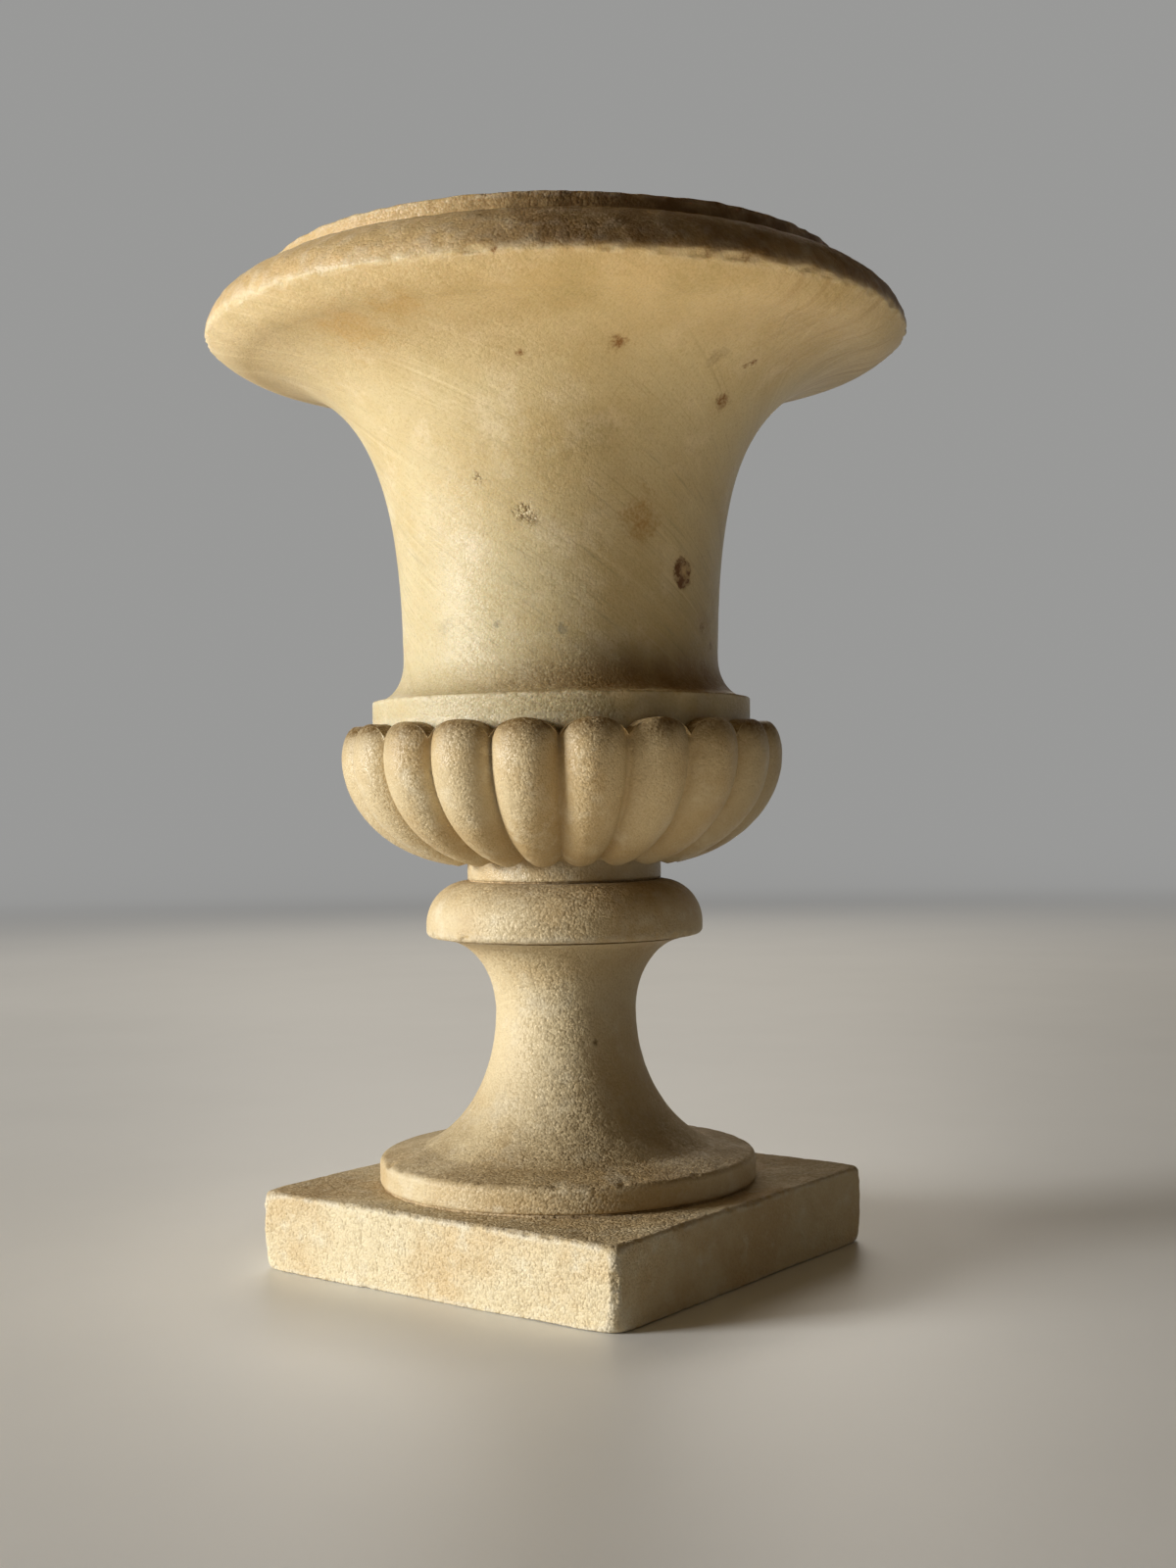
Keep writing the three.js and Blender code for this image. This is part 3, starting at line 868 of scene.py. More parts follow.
def group(name, inputs, **outputs):
    """A new shader node group, its input sockets and its output sockets. An input's default sets its kind."""
    tree = bpy.data.node_groups.new(name, "ShaderNodeTree")
    kinds = {3: "NodeSocketVector", 4: COLOUR}
    for title, default in inputs.items():
        kind = kinds[len(default)] if isinstance(default, tuple) else FLOAT
        tree.interface.new_socket(name=title, in_out="INPUT", socket_type=kind).default_value = default
    for title, kind in outputs.items():
        tree.interface.new_socket(name=title, in_out="OUTPUT", socket_type=kind)
    return tree, tree.nodes.new("NodeGroupInput").outputs, tree.nodes.new("NodeGroupOutput").inputs


print("shader nodes of Blender", bpy.app.version_string)

# %% [markdown]
# ## Sugary grain
# Weathered marble loses its polish grain by grain, and its crystals, about a millimetre across, stand out
# like coarse sugar: each is a small flat face that leans its own way and glints by itself. Voronoi cells
# are the crystals. A cell's random colour gives its lean, and the height is a plane of that lean on a low
# dome, with some sand.

# %% Grain group
SAND_SHARE = 0.15
DOME_SHARE = 0.5

grain, given, made = group("Sugary grain", {"Place": HERE, "Crystal": 0.0012}, Height=FLOAT, Tone=FLOAT)
density = maths(grain, "DIVIDE", 1.0, given["Crystal"])
cells = node(grain, "TexVoronoi", {"Vector": given["Place"], "Scale": density}).outputs
lean = vector(grain, "SUBTRACT", cells["Color"], (0.5, 0.5, 0.5))[0]
inside = vector(grain, "SUBTRACT", given["Place"], cells["Position"])[0]
facet = times(grain, vector(grain, "DOT_PRODUCT", inside, lean)["Value"], density)
sand = fine_noise(grain, given["Place"], density, 3.0, 0.6)
height = maths(grain, "SUBTRACT", times(grain, sand, SAND_SHARE), times(grain, cells["Distance"], DOME_SHARE))
grain.links.new(maths(grain, "ADD", height, facet), made["Height"])
grain.links.new(node(grain, "SeparateColor", {0: cells["Color"]}).outputs[0], made["Tone"])
print(grain.name, "has", len(grain.nodes), "nodes")

# %% [markdown]
# ## Patina
# Rain bleaches some patches and leaves others honey-coloured. Three colours are laid over each other
# through clouds of two sizes, so that no patch repeats.

# %% Patina group
SMALL_PATCHES = 4.5

colours = {"Clean": rgb(0.7, 0.6, 0.4), "Honey": rgb(0.6, 0.45, 0.25), "Bleached": rgb(0.8, 0.75, 0.6)}
patina, given, made = group("Patina", {"Place": HERE, "Patch": 0.06, **colours}, Colour=COLOUR)
broad = fine_noise(patina, given["Place"], maths(patina, "DIVIDE", 1.0, given["Patch"]), 4.0, 0.6)
small = fine_noise(patina, given["Place"], maths(patina, "DIVIDE", SMALL_PATCHES, given["Patch"]), 5.0, 0.65)
colour = mixed(patina, ranged(patina, broad, 0.4, 0.66), given["Clean"], given["Honey"])
colour = mixed(patina, ranged(patina, small, 0.5, 0.74, 0.0, 0.75), colour, given["Bleached"])
patina.links.new(colour, made["Colour"])
print(patina.name, "has", len(patina.nodes), "nodes")

# %% [markdown]
# ## Settled dirt and painted shade
# Dirt stays in hollows, which the mesh has marked. On faces that look up lie dust and leaf mould, and a
# painted shade as well: the darker tops that a low light gives. Clouds break it into patches and crumbs.

# %% Dirt and painted shade group
DIRT_PATCH = 0.022
DIRT_CRUMB = 0.0018

amounts = {"Hollow": 0.0, "Sunken": 1.0, "Facing up": 0.0, "Tops from": 0.2, "Tops fully": 0.95, "Dust and top shade": 0.8}
dirt_and_shade, given, made = group("Dirt and painted shade", {"Place": HERE, **amounts}, Mask=FLOAT)
patches = ranged(dirt_and_shade, clouds(dirt_and_shade, given["Place"], DIRT_PATCH, 6.0, 0.68), 0.3, 0.6, 0.45, 1.0)
crumbs = ranged(dirt_and_shade, clouds(dirt_and_shade, given["Place"], DIRT_CRUMB, 3.0, 0.6), 0.32, 0.6, 0.78, 1.0)
sunken = times(dirt_and_shade, ranged(dirt_and_shade, given["Hollow"], 0.1, 0.8), given["Sunken"])
# Faces that look up darken: dust, and a painted shade of the low light on tops.
facing = ranged(dirt_and_shade, given["Facing up"], given["Tops from"], given["Tops fully"])
settled_and_shaded = maths(dirt_and_shade, "MAXIMUM", sunken, times(dirt_and_shade, facing, given["Dust and top shade"]))
dirt_and_shade.links.new(times(dirt_and_shade, times(dirt_and_shade, settled_and_shaded, patches), crumbs), made["Mask"])
print(dirt_and_shade.name, "has", len(dirt_and_shade.nodes), "nodes")

# %% [markdown]
# ## Edge wear
# Rubbed edges show clean, pale stone. The mask is the mesh's edges, broken up by fine clouds.

# %% Wear group
wear, given, made = group("Edge wear", {"Place": HERE, "Hollow": 0.0}, Mask=FLOAT)
edges = ranged(wear, given["Hollow"], -0.15, -0.55)
broken = ranged(wear, clouds(wear, given["Place"], 0.006), 0.36, 0.58)
wear.links.new(times(wear, edges, broken), made["Mask"])
print(wear.name, "has", len(wear.nodes), "nodes")

# %% [markdown]
# ## Streaks
# Water runs down in streaks and tools leave slanting scratches. Both are noise drawn out along Z. The
# place is first laid on a drum of one radius, so that a streak stays as wide where the stone flares. To
# slant it without a seam, the drum is turned by an angle that grows with the level, which twists the
# streaks round the stone like the stripes of a candy cane.

# %% Streak group
DRUM_RADIUS = 0.075

streaks, given, made = group(
    "Streaks", {"Place": HERE, "Width": 0.004, "Twist": 0.0, "Draw": 0.1}, Mask=FLOAT)
level = node(streaks, "SeparateXYZ", {0: given["Place"]}).outputs["Z"]
flat = vector(streaks, "MULTIPLY", given["Place"], (1, 1, 0))[0]
around = vector(streaks, "NORMALIZE", flat)[0]
drum = vector(streaks, "MULTIPLY", around, (DRUM_RADIUS, DRUM_RADIUS, 0.0))[0]
angle = times(streaks, level, given["Twist"])
twisted = node(streaks, "VectorRotate", {"Vector": drum, "Angle": angle}, rotation_type="Z_AXIS").outputs[0]
raised = node(streaks, "CombineXYZ", {"Z": times(streaks, level, given["Draw"])}).outputs[0]
stretched = vector(streaks, "ADD", twisted, raised)[0]
runs = fine_noise(streaks, stretched, maths(streaks, "DIVIDE", 1.0, given["Width"]), 4.0, 0.65)
streaks.links.new(runs, made["Mask"])
print(streaks.name, "has", len(streaks.nodes), "nodes")

# %% [markdown]
# ## Spots
# Iron grains in the marble have rusted, and knocks have bruised it. A spot is a ragged ball round a
# place: the distance to its middle, roughened by noise.

# %% Spot group
RAGGED_GAIN = 2.5

spot, given, made = group(
    "Spot", {"Place": HERE, "Middle": HERE, "Size": 0.003, "Ragged": 0.6}, Mask=FLOAT)
away = vector(spot, "DISTANCE", given["Place"], given["Middle"])["Value"]
ragged = fine_noise(spot, given["Place"], maths(spot, "DIVIDE", 1.2, given["Size"]), 4.0, 0.7)
shift = times(spot, maths(spot, "SUBTRACT", ragged, 0.5), given["Ragged"])
share = maths(spot, "ADD", maths(spot, "DIVIDE", away, given["Size"]), times(spot, shift, RAGGED_GAIN))
spot.links.new(ranged(spot, share, 1.15, 0.2), made["Mask"])
print(spot.name, "has", len(spot.nodes), "nodes")

# %% [markdown]
# ## The marble's common skin
# All five stones are of one marble, so they share one recipe: patina, crystals, dirt, painted shade and worn
# edges.
# Each stone gives its own colours and amounts, and the bell adds more on top. On the bell a little
# subsurface light, set on the shader itself, makes the stone look waxy rather than painted; the sandy
# stones have lost that depth.

# %% Marble skin
CLEAN = rgb(0.68, 0.55, 0.33)
HONEY = rgb(0.57, 0.41, 0.20)
BLEACHED = rgb(0.78, 0.68, 0.48)
WORN = rgb(0.84, 0.77, 0.61)
# The soil colour paints dirt, and on upward faces and the bell's shaded side also painted shade.
SOIL_AND_SHADE = rgb(0.165, 0.094, 0.025)
SOIL_ROUGHNESS = 0.35


class Skin:
    """The sockets of a marble skin, which a stone's material works on before it is shaded."""

    def __init__(self, name, clean=CLEAN, honey=HONEY, bleached=BLEACHED, patch=0.06, crystal=0.0009,
                 sunken=1.0, dust_and_top_shade=0.8, tops_from=0.2, tops_fully=0.95):
        self.material = bpy.data.materials.new(name)
        self.material.use_nodes = True
        self.tree = tree = self.material.node_tree
        tree.nodes.clear()
        self.place = node(tree, "TexCoord").outputs["Object"]
        self.hollow = node(tree, "Attribute", attribute_name="hollow").outputs["Fac"]
        normal = node(tree, "NewGeometry").outputs["Normal"]
        self.up = node(tree, "SeparateXYZ", {0: normal}).outputs["Z"]
        self.x, self.y, self.level = node(tree, "SeparateXYZ", {0: self.place}).outputs
        self.height, self.tone = self.effect(grain, Crystal=crystal).outputs
        self.colour = self.mask(patina, Patch=patch, Clean=clean, Honey=honey, Bleached=bleached)
        # Dirt in hollows, and dust with painted shade on faces that look up.
        dirt_and_shade_inputs = {"Hollow": self.hollow, "Sunken": sunken, "Facing up": self.up, "Dust and top shade": dust_and_top_shade,
                    "Tops from": tops_from, "Tops fully": tops_fully}
        clean_crystals = ranged(tree, self.tone, 0.6, 0.95, 1.0, 0.75)
        self.dirt_and_shade = times(tree, self.mask(dirt_and_shade, **dirt_and_shade_inputs), clean_crystals)
        self.worn = self.mask(wear, Hollow=self.hollow)

    def effect(self, tree, **inputs):
        return node(self.tree, "Group", {"Place": self.place, **inputs}, node_tree=tree)

    def mask(self, tree, **inputs):
        return self.effect(tree, **inputs).outputs[0]

    def paint(self, mask, over, blend="MIX"):
        self.colour = mixed(self.tree, mask, self.colour, over, blend)

    def shade(self, roughness, bump, rubbed, dirt_and_shade_share, sugar, constants):
        """Crystal tones, worn edges, and dirt with painted shade go on last; then the shader takes it all."""
        tree = self.tree
        self.paint(ranged(tree, self.tone, 0.55, 1.0, 0.0, sugar), BLEACHED)
        self.paint(ranged(tree, self.tone, 0.45, 0.0, 0.0, sugar), HONEY, "MULTIPLY")
        self.paint(times(tree, self.worn, rubbed), WORN)
        # Dirt goes on here, and with it painted shade on tops and on the bell's shaded side.
        self.paint(times(tree, self.dirt_and_shade, dirt_and_shade_share), SOIL_AND_SHADE)
        rough = maths(tree, "MULTIPLY_ADD", self.dirt_and_shade, SOIL_ROUGHNESS, roughness)
        lumps = node(tree, "Bump", {"Height": times(tree, self.height, bump), "Distance": MM})
        shader = node(tree, "BsdfPrincipled", {"Base Color": self.colour, "Roughness": rough,
                                               "Normal": lumps.outputs[0], **constants})
        node(tree, "OutputMaterial", {"Surface": shader.outputs[0]})
        return self.material


print("clean, honey-coloured and bleached marble:", CLEAN[:3], HONEY[:3], BLEACHED[:3])

# %% [markdown]
# ## Sandy stones
# Plinth, foot, collar and bowl have lost their polish. The slab is the palest where it is rubbed, and the
# bowl the darkest. On the gadroons the dust and painted shade of the tops reach further down, onto faces
# that lean a little down. The stem has one fleck, given as an azimuth, a level, a radius and a size.

# %% Sandy marble
SANDY = {"IOR": 1.5, "Specular IOR Level": 0.32}
PALE = {"clean": rgb(0.80, 0.68, 0.44), "honey": rgb(0.70, 0.53, 0.29), "bleached": rgb(0.86, 0.78, 0.58)}
LIGHT = {"clean": rgb(0.72, 0.59, 0.36), "honey": rgb(0.61, 0.445, 0.225)}
SANDY_STONES = [
    (plinth, {**PALE, "dust_and_top_shade": 1.0, "tops_from": 0.15, "tops_fully": 0.8, "patch": 0.05},
     {"roughness": 0.55, "bump": 0.42, "rubbed": 0.55, "dirt_and_shade_share": 0.5, "sugar": 0.12}),
    (foot, {**LIGHT, "dust_and_top_shade": 0.9, "tops_from": 0.1, "tops_fully": 0.95, "patch": 0.07},
     {"roughness": 0.52, "bump": 0.28, "rubbed": 0.08, "dirt_and_shade_share": 0.6, "sugar": 0.1}),
    (collar, {**LIGHT, "dust_and_top_shade": 0.8, "tops_from": 0.3, "tops_fully": 1.0, "patch": 0.06},
     {"roughness": 0.52, "bump": 0.27, "rubbed": 0.3, "dirt_and_shade_share": 0.65, "sugar": 0.1}),
    (bowl, {"crystal": 0.0008, "sunken": 0.1, "dust_and_top_shade": 1.0, "tops_from": -0.1, "tops_fully": 0.65,
            "patch": 0.05},
     {"roughness": 0.38, "bump": 0.25, "rubbed": 0.0, "dirt_and_shade_share": 1.0, "sugar": 0.08}),
]
FLECK = (-29.7, 89.4, 29.1, 1.6)


def round_about(azimuth, radius, level):
    """A place at an azimuth in degrees, with its radius and level in millimetres."""
    turn = math.radians(azimuth)
    return (radius * MM * math.cos(turn), radius * MM * math.sin(turn), level * MM)


for piece, settings, finish_values in SANDY_STONES:
    skin = Skin(piece.name + "_marble", **settings)
    if piece == foot:
        azimuth, level, radius, size = FLECK
        fleck = skin.mask(spot, Middle=round_about(azimuth, radius, level), Size=size * MM, Ragged=0.8)
        skin.paint(times(skin.tree, fleck, 0.8), SOIL_AND_SHADE)
    piece.data.materials.append(skin.shade(**finish_values, constants=SANDY))
    print(piece.name, "is finished with a bump of", finish_values["bump"], "mm")

# %% [markdown]
# ## The bell's marble
# The bell is smoother and more yellow, sandy only near the lip and on the band. It shows fine brown
# specks, soft swirls with faint grey veins along their middle, slanting scratches, and short dark strokes
# low down.

# %% Bell marble
RAGGED_EDGE = 0.03
LIP_ZONE = (0.355, 0.382)
BAND_ZONE = (0.262, 0.244)
STROKE_ZONE = (0.345, 0.3)
LIP_TINT = rgb(0.60, 0.46, 0.26)
SPECK_TINT = rgb(0.47, 0.36, 0.18)
SWIRL_TINT = rgb(0.53, 0.43, 0.23)
VEIN_TINT = rgb(0.47, 0.40, 0.26)
SCRATCH_TINT = rgb(0.80, 0.70, 0.46)
GROOVE_TINT = rgb(0.44, 0.35, 0.18)
STROKE_TINT = rgb(0.40, 0.34, 0.20)

skin = Skin("bell_marble", clean=rgb(0.665, 0.57, 0.35), honey=rgb(0.59, 0.465, 0.24), patch=0.09,
            sunken=0.25, dust_and_top_shade=0.9, tops_from=0.05, tops_fully=0.75)
tree = skin.tree
ragged_level = maths(tree, "MULTIPLY_ADD", clouds(tree, skin.place, 0.03), RAGGED_EDGE, skin.level)
near_lip = ranged(tree, ragged_level, *LIP_ZONE)
near_band = ranged(tree, ragged_level, *BAND_ZONE)
skin.paint(times(tree, near_lip, 0.5), LIP_TINT)
specks = clouds(tree, skin.place, 0.0012, 3.0)
skin.paint(ranged(tree, specks, 0.5, 0.72, 0.0, 0.5), SPECK_TINT)

swirls = skin.mask(streaks, Width=0.022, Twist=20.0, Draw=0.35)
skin.paint(ranged(tree, swirls, 0.5, 0.3, 0.0, 0.45), SWIRL_TINT)
veins = ranged(tree, maths(tree, "ABSOLUTE", maths(tree, "SUBTRACT", swirls, 0.5)), 0.035, 0.0)
skin.paint(times(tree, veins, ranged(tree, skin.level, 0.37, 0.27, 0.05, 0.18)), VEIN_TINT)

scratched = ranged(tree, clouds(tree, skin.place, 0.05), 0.4, 0.6, 0.25, 1.0)
scratches = skin.mask(streaks, Width=0.0022, Twist=22.0, Draw=0.05)
skin.paint(times(tree, ranged(tree, scratches, 0.55, 0.7, 0.0, 0.5), scratched), SCRATCH_TINT)
skin.paint(times(tree, ranged(tree, scratches, 0.44, 0.3, 0.0, 0.55), scratched), GROOVE_TINT)
strokes = skin.mask(streaks, Width=0.0032, Twist=22.0, Draw=0.2)
strokes = times(tree, ranged(tree, strokes, 0.57, 0.7, 0.0, 0.6), scratched)
skin.paint(times(tree, strokes, ranged(tree, skin.level, *STROKE_ZONE)), STROKE_TINT)
print("bell marble:", len(tree.nodes), "nodes before its soil and marks")

# %% [markdown]
# Soil darkens the well, and rain carries it over the rolled lip, where it dries in streaks. The streaks,
# the cove's dirt and all the bell's dirt grow towards the photograph's right, away from the key lamp, so
# there they are partly painted shade. Under the lip lie brown stains, and on the right side fine spokes.

# %% Bell soil and painted shade
DIRT_AND_SHADE_SIDE = (0.8, 0.6)
DIRT_AND_SHADE_TURN = (-0.05, 0.012)
COVE_DIRT_AND_SHADE_TURN = (-0.045, 0.03)
SPOKES_TURN = (0.05, 0.11)
LIP_START = (0.3715, 0.376)
LIP_FACING = (-0.35, 0.05)
WELL_TINT = rgb(0.30, 0.235, 0.155)
LIP_TAN = rgb(0.66, 0.455, 0.21)
LIP_STAIN_AND_SHADE = rgb(0.19, 0.10, 0.034)
HAZE_TINT = rgb(0.485, 0.38, 0.19)
SPOKE_TINT = rgb(0.42, 0.29, 0.14)
COVE_DIRT_AND_SHADE = rgb(0.27, 0.165, 0.07)

well = node(tree, "Attribute", attribute_name="well").outputs["Fac"]
runs = skin.mask(streaks, Width=0.012, Draw=0.15)
skin.paint(times(tree, well, ranged(tree, runs, 0.3, 0.6, 0.45, 0.85)), WELL_TINT)
# This share grows to the right, away from the key lamp; the bell's dirt drops to a fifth on the lit left, so
# on the right it is partly painted shade.
dirt_and_shade_side = maths(tree, "MULTIPLY_ADD", skin.y, DIRT_AND_SHADE_SIDE[1], times(tree, skin.x, DIRT_AND_SHADE_SIDE[0]))
skin.dirt_and_shade = times(tree, skin.dirt_and_shade, ranged(tree, dirt_and_shade_side, *DIRT_AND_SHADE_TURN, 0.2, 1.0))

on_lip = times(tree, ranged(tree, skin.level, *LIP_START), ranged(tree, skin.up, *LIP_FACING))
tanned = times(tree, on_lip, 0.85)
skin.paint(tanned, LIP_TAN)
under_lip = times(tree, ranged(tree, skin.level, 0.335, 0.362), ranged(tree, skin.level, 0.3725, 0.3715))
haze = times(tree, under_lip, ranged(tree, clouds(tree, skin.place, 0.028, 6.0), 0.42, 0.66, 0.0, 0.55))
skin.paint(times(tree, haze, ranged(tree, specks, 0.36, 0.6, 0.6, 1.1)), HAZE_TINT)
spokes = ranged(tree, skin.mask(streaks, Width=0.0035, Draw=0.12), 0.48, 0.66, 0.0, 0.6)
spokes = times(tree, spokes, ranged(tree, dirt_and_shade_side, *SPOKES_TURN))
skin.paint(times(tree, spokes, under_lip), SPOKE_TINT)

# Dark streaks on the rolled lip: real stains, which fade out on the lit left and so also paint shade on the
# right.
drips = ranged(tree, skin.mask(streaks, Width=0.005, Twist=5.0, Draw=0.3), 0.36, 0.6, 0.62, 0.97)
stain_and_shade = times(tree, times(tree, on_lip, ranged(tree, dirt_and_shade_side, *DIRT_AND_SHADE_TURN, 0.05, 1.0)), drips)
skin.paint(stain_and_shade, LIP_STAIN_AND_SHADE)
skin.dirt_and_shade = maths(tree, "MAXIMUM", skin.dirt_and_shade, times(tree, stain_and_shade, 0.5))
# The cove darkens more to the right: dirt in the hollow, and painted shade on its shaded side.
in_cove = times(tree, ranged(tree, skin.level, 0.2262, 0.2285), ranged(tree, skin.level, 0.252, 0.231))
in_cove = times(tree, in_cove, ranged(tree, dirt_and_shade_side, *COVE_DIRT_AND_SHADE_TURN, 0.08, 0.85))
skin.paint(times(tree, in_cove, ranged(tree, runs, 0.3, 0.6, 0.6, 1.0)), COVE_DIRT_AND_SHADE)
print("bell marble:", len(tree.nodes), "nodes with its soil")

# %% [markdown]
# The bell's marks were placed from the photograph: each is an azimuth, a level, a size and a
# strength, and its middle lies on the outline at that level. The brown ring has a heart of clean stone, a
# little off its middle.

# %% Bell marks
RUST = rgb(0.24, 0.115, 0.035)
BRUISE_AND_SHADOW = rgb(0.36, 0.27, 0.15)
GREY = rgb(0.31, 0.275, 0.19)
OLIVE = rgb(0.42, 0.34, 0.17)
BROWN = rgb(0.40, 0.245, 0.08)
OCHRE = rgb(0.55, 0.36, 0.13)
MARKS = [
    ("rust spot high", -39.2, 351.5, 4.6, 0.8, RUST),
    ("rust spot high, its core", -38.6, 351.0, 1.8, 0.7, RUST),
    ("rust spot right", -3.2, 337.5, 4.8, 0.85, RUST),
    ("smudge right", -13.0, 350.4, 5.2, 0.55, BRUISE_AND_SHADOW),
    ("dash right", -1.4, 351.4, 2.1, 0.85, RUST),
    ("dash right, its tail", -2.9, 349.9, 1.8, 0.85, RUST),
    ("dash left", -60.7, 348.5, 2.0, 0.85, RUST),
    ("brown patch", -25.3, 294.0, 9.5, 0.65, BROWN),
    ("brown patch, lower", -24.0, 287.0, 7.0, 0.45, BROWN),
    # The next mark is a painted shadow beside the pits.
    ("shadow of the pits", -61.5, 291.0, 5.0, 0.25, BRUISE_AND_SHADOW),
    ("fleck", -51.8, 250.2, 2.4, 0.8, GREY),
    ("smudge left", -96.3, 252.4, 5.0, 0.3, GREY),
    ("smears right", 10.1, 254.1, 8.0, 0.35, rgb(0.38, 0.25, 0.12)),
    ("speckle right", 7.2, 253.1, 2.2, 0.7, RUST),
    ("speckle right, lower", 15.9, 246.5, 2.2, 0.6, RUST),
    ("fleck left", -74.4, 252.8, 1.8, 0.7, GREY),
    ("ochre haze", -94.5, 359.8, 17.0, 0.6, OCHRE),
    ("ochre haze, its end", -80.0, 362.5, 12.0, 0.5, OCHRE),
    ("olive haze", -48.8, 362.9, 10.0, 0.5, OLIVE),
    ("olive haze right", -31.0, 364.3, 12.0, 0.4, OLIVE),
    ("olive smear", -55.2, 314.5, 9.0, 0.25, OLIVE),
    ("olive smear, its middle", -40.9, 322.4, 11.0, 0.45, OLIVE),
    ("olive smear, its end", -27.0, 329.0, 9.0, 0.25, OLIVE),
    ("hole in the lip", -60.8, 372.0, 1.7, 0.85, RUST),
    ("pit in the lip", -30.8, 372.3, 1.8, 0.7, RUST),
    ("pit in the lip, right", -24.5, 373.0, 2.2, 0.7, RUST),
    ("dot on the ring", -22.6, 398.2, 1.6, 0.8, RUST),
]
RING_MARK = {"azimuth": -5.5, "level": 273.4}
RING_HEART = {"azimuth": -4.9, "level": 274.1}
RING_SIZE, HEART_SIZE = 7.4 * MM, 3.0 * MM
RING_HALO = rgb(0.44, 0.27, 0.10)
RING_BROWN = rgb(0.15, 0.065, 0.014)


def on_bell(azimuth, level):
    """The place on the bell's outside at an azimuth in degrees and a level in millimetres."""
    levels = [point.z / MM for point in bell_side]
    reach = float(np.interp(level, levels, [point.x for point in bell_side]))
    return round_about(azimuth, reach / MM, level)


crumbs = ranged(tree, specks, 0.36, 0.6, 0.55, 1.15)
for name, azimuth, level, size, strength, tint in MARKS:
    mark = skin.mask(spot, Middle=on_bell(azimuth, level), Size=size * MM, Ragged=1.0)
    skin.paint(times(tree, times(tree, mark, strength), crumbs), tint)
whole = skin.mask(spot, Middle=on_bell(**RING_MARK), Size=RING_SIZE, Ragged=0.45)
heart = skin.mask(spot, Middle=on_bell(**RING_HEART), Size=HEART_SIZE, Ragged=0.5)
skin.paint(times(tree, whole, 0.6), RING_HALO)
ring = times(tree, ranged(tree, whole, 0.2, 0.55), maths(tree, "SUBTRACT", 1.0, heart))
blots = ranged(tree, clouds(tree, skin.place, 2.2 * MM), 0.38, 0.56, 0.35, 1.0)
skin.paint(times(tree, ring, blots), RING_BROWN)
print("bell marks:", len(MARKS) + 1)

# %% [markdown]
# The bell's bump is low on the smooth body, higher where it is sandy and higher still on the lip. Three
# knocks have crushed the surface to loose crystals, and there it is coarsest. Then the skin is shaded,
# with some wax in it.

# %% Bell finish
PITS = ((-63.4, 294.6, 4.6), (-61.0, 291.5, 2.4), (-77.8, 308.1, 2.6))
PIT_BUMP = 0.8
LIP_BUMP = 0.3
BODY_BUMP, SANDY_BUMP = 0.12, 0.2
WAXY = {"IOR": 1.5, "Specular IOR Level": 0.2, "Subsurface Weight": 0.2,
        "Subsurface Radius": (1.0, 0.6, 0.3), "Subsurface Scale": 0.006}

sandy = maths(tree, "MAXIMUM", maths(tree, "MAXIMUM", near_lip, near_band), well)
bump = ranged(tree, sandy, 0.0, 1.0, BODY_BUMP, SANDY_BUMP)
bump = maths(tree, "MAXIMUM", bump, times(tree, tanned, LIP_BUMP))
for azimuth, level, size in PITS:
    pit = skin.mask(spot, Middle=on_bell(azimuth, level), Size=size * MM, Ragged=0.8)
    skin.paint(times(tree, pit, ranged(tree, skin.tone, 0.25, 0.65, 0.75, 0.0)), BRUISE_AND_SHADOW)
    bump = maths(tree, "MAXIMUM", bump, times(tree, pit, PIT_BUMP))
bell.data.materials.append(
    skin.shade(roughness=0.4, bump=bump, rubbed=0.25, dirt_and_shade_share=0.9, sugar=0.04, constants=WAXY))
print("bell marble:", len(tree.nodes), "nodes in all")


# %% [markdown]
# ## Mortar, iron and leather
# Lime mortar is sand in a pale binder, darkened by damp. The iron has rusted through its scale, and the
# leather has dried and cracked.

# %% Fittings
def plain(name):
    """A new material, its bare tree and the place on the piece."""
    material = bpy.data.materials.new(name)
    material.use_nodes = True
    material.node_tree.nodes.clear()
    tree = material.node_tree
    return material, tree, node(tree, "TexCoord").outputs["Object"]


def finish(tree, colour, roughness, height, depth):
    """Shades a tree with a bump whose depth is in millimetres."""
    lumps = node(tree, "Bump", {"Height": height, "Distance": depth * MM})
    shader = node(tree, "BsdfPrincipled", {"Base Color": colour, "Roughness": roughness,
                                           "Normal": lumps.outputs[0]})
    return shader, node(tree, "OutputMaterial", {"Surface": shader.outputs[0]})


mortar, tree, place = plain("lime_mortar")
sand = node(tree, "Group", {"Place": place, "Crystal": 0.0009}, node_tree=grain).outputs
colour = mixed(tree, ranged(tree, sand["Tone"], 0.2, 0.9), rgb(0.50, 0.37, 0.20), rgb(0.60, 0.47, 0.29))
damp = ranged(tree, clouds(tree, place, 0.02), 0.4, 0.65, 0.0, 0.7)
finish(tree, mixed(tree, damp, colour, rgb(0.36, 0.24, 0.12)), 0.95, sand["Height"], 0.4)

iron, tree, place = plain("rusted_iron")
scale = ranged(tree, clouds(tree, place, 0.012, 8.0, 0.7), 0.4, 0.62)
flakes = clouds(tree, place, 0.0025, 6.0, 0.7)
colour = mixed(tree, scale, rgb(0.055, 0.042, 0.035), rgb(0.19, 0.075, 0.025))
colour = mixed(tree, ranged(tree, flakes, 0.55, 0.75, 0.0, 0.8), colour, rgb(0.34, 0.15, 0.05))
finish(tree, colour, ranged(tree, scale, 0.0, 1.0, 0.55, 0.92), flakes, 0.35)

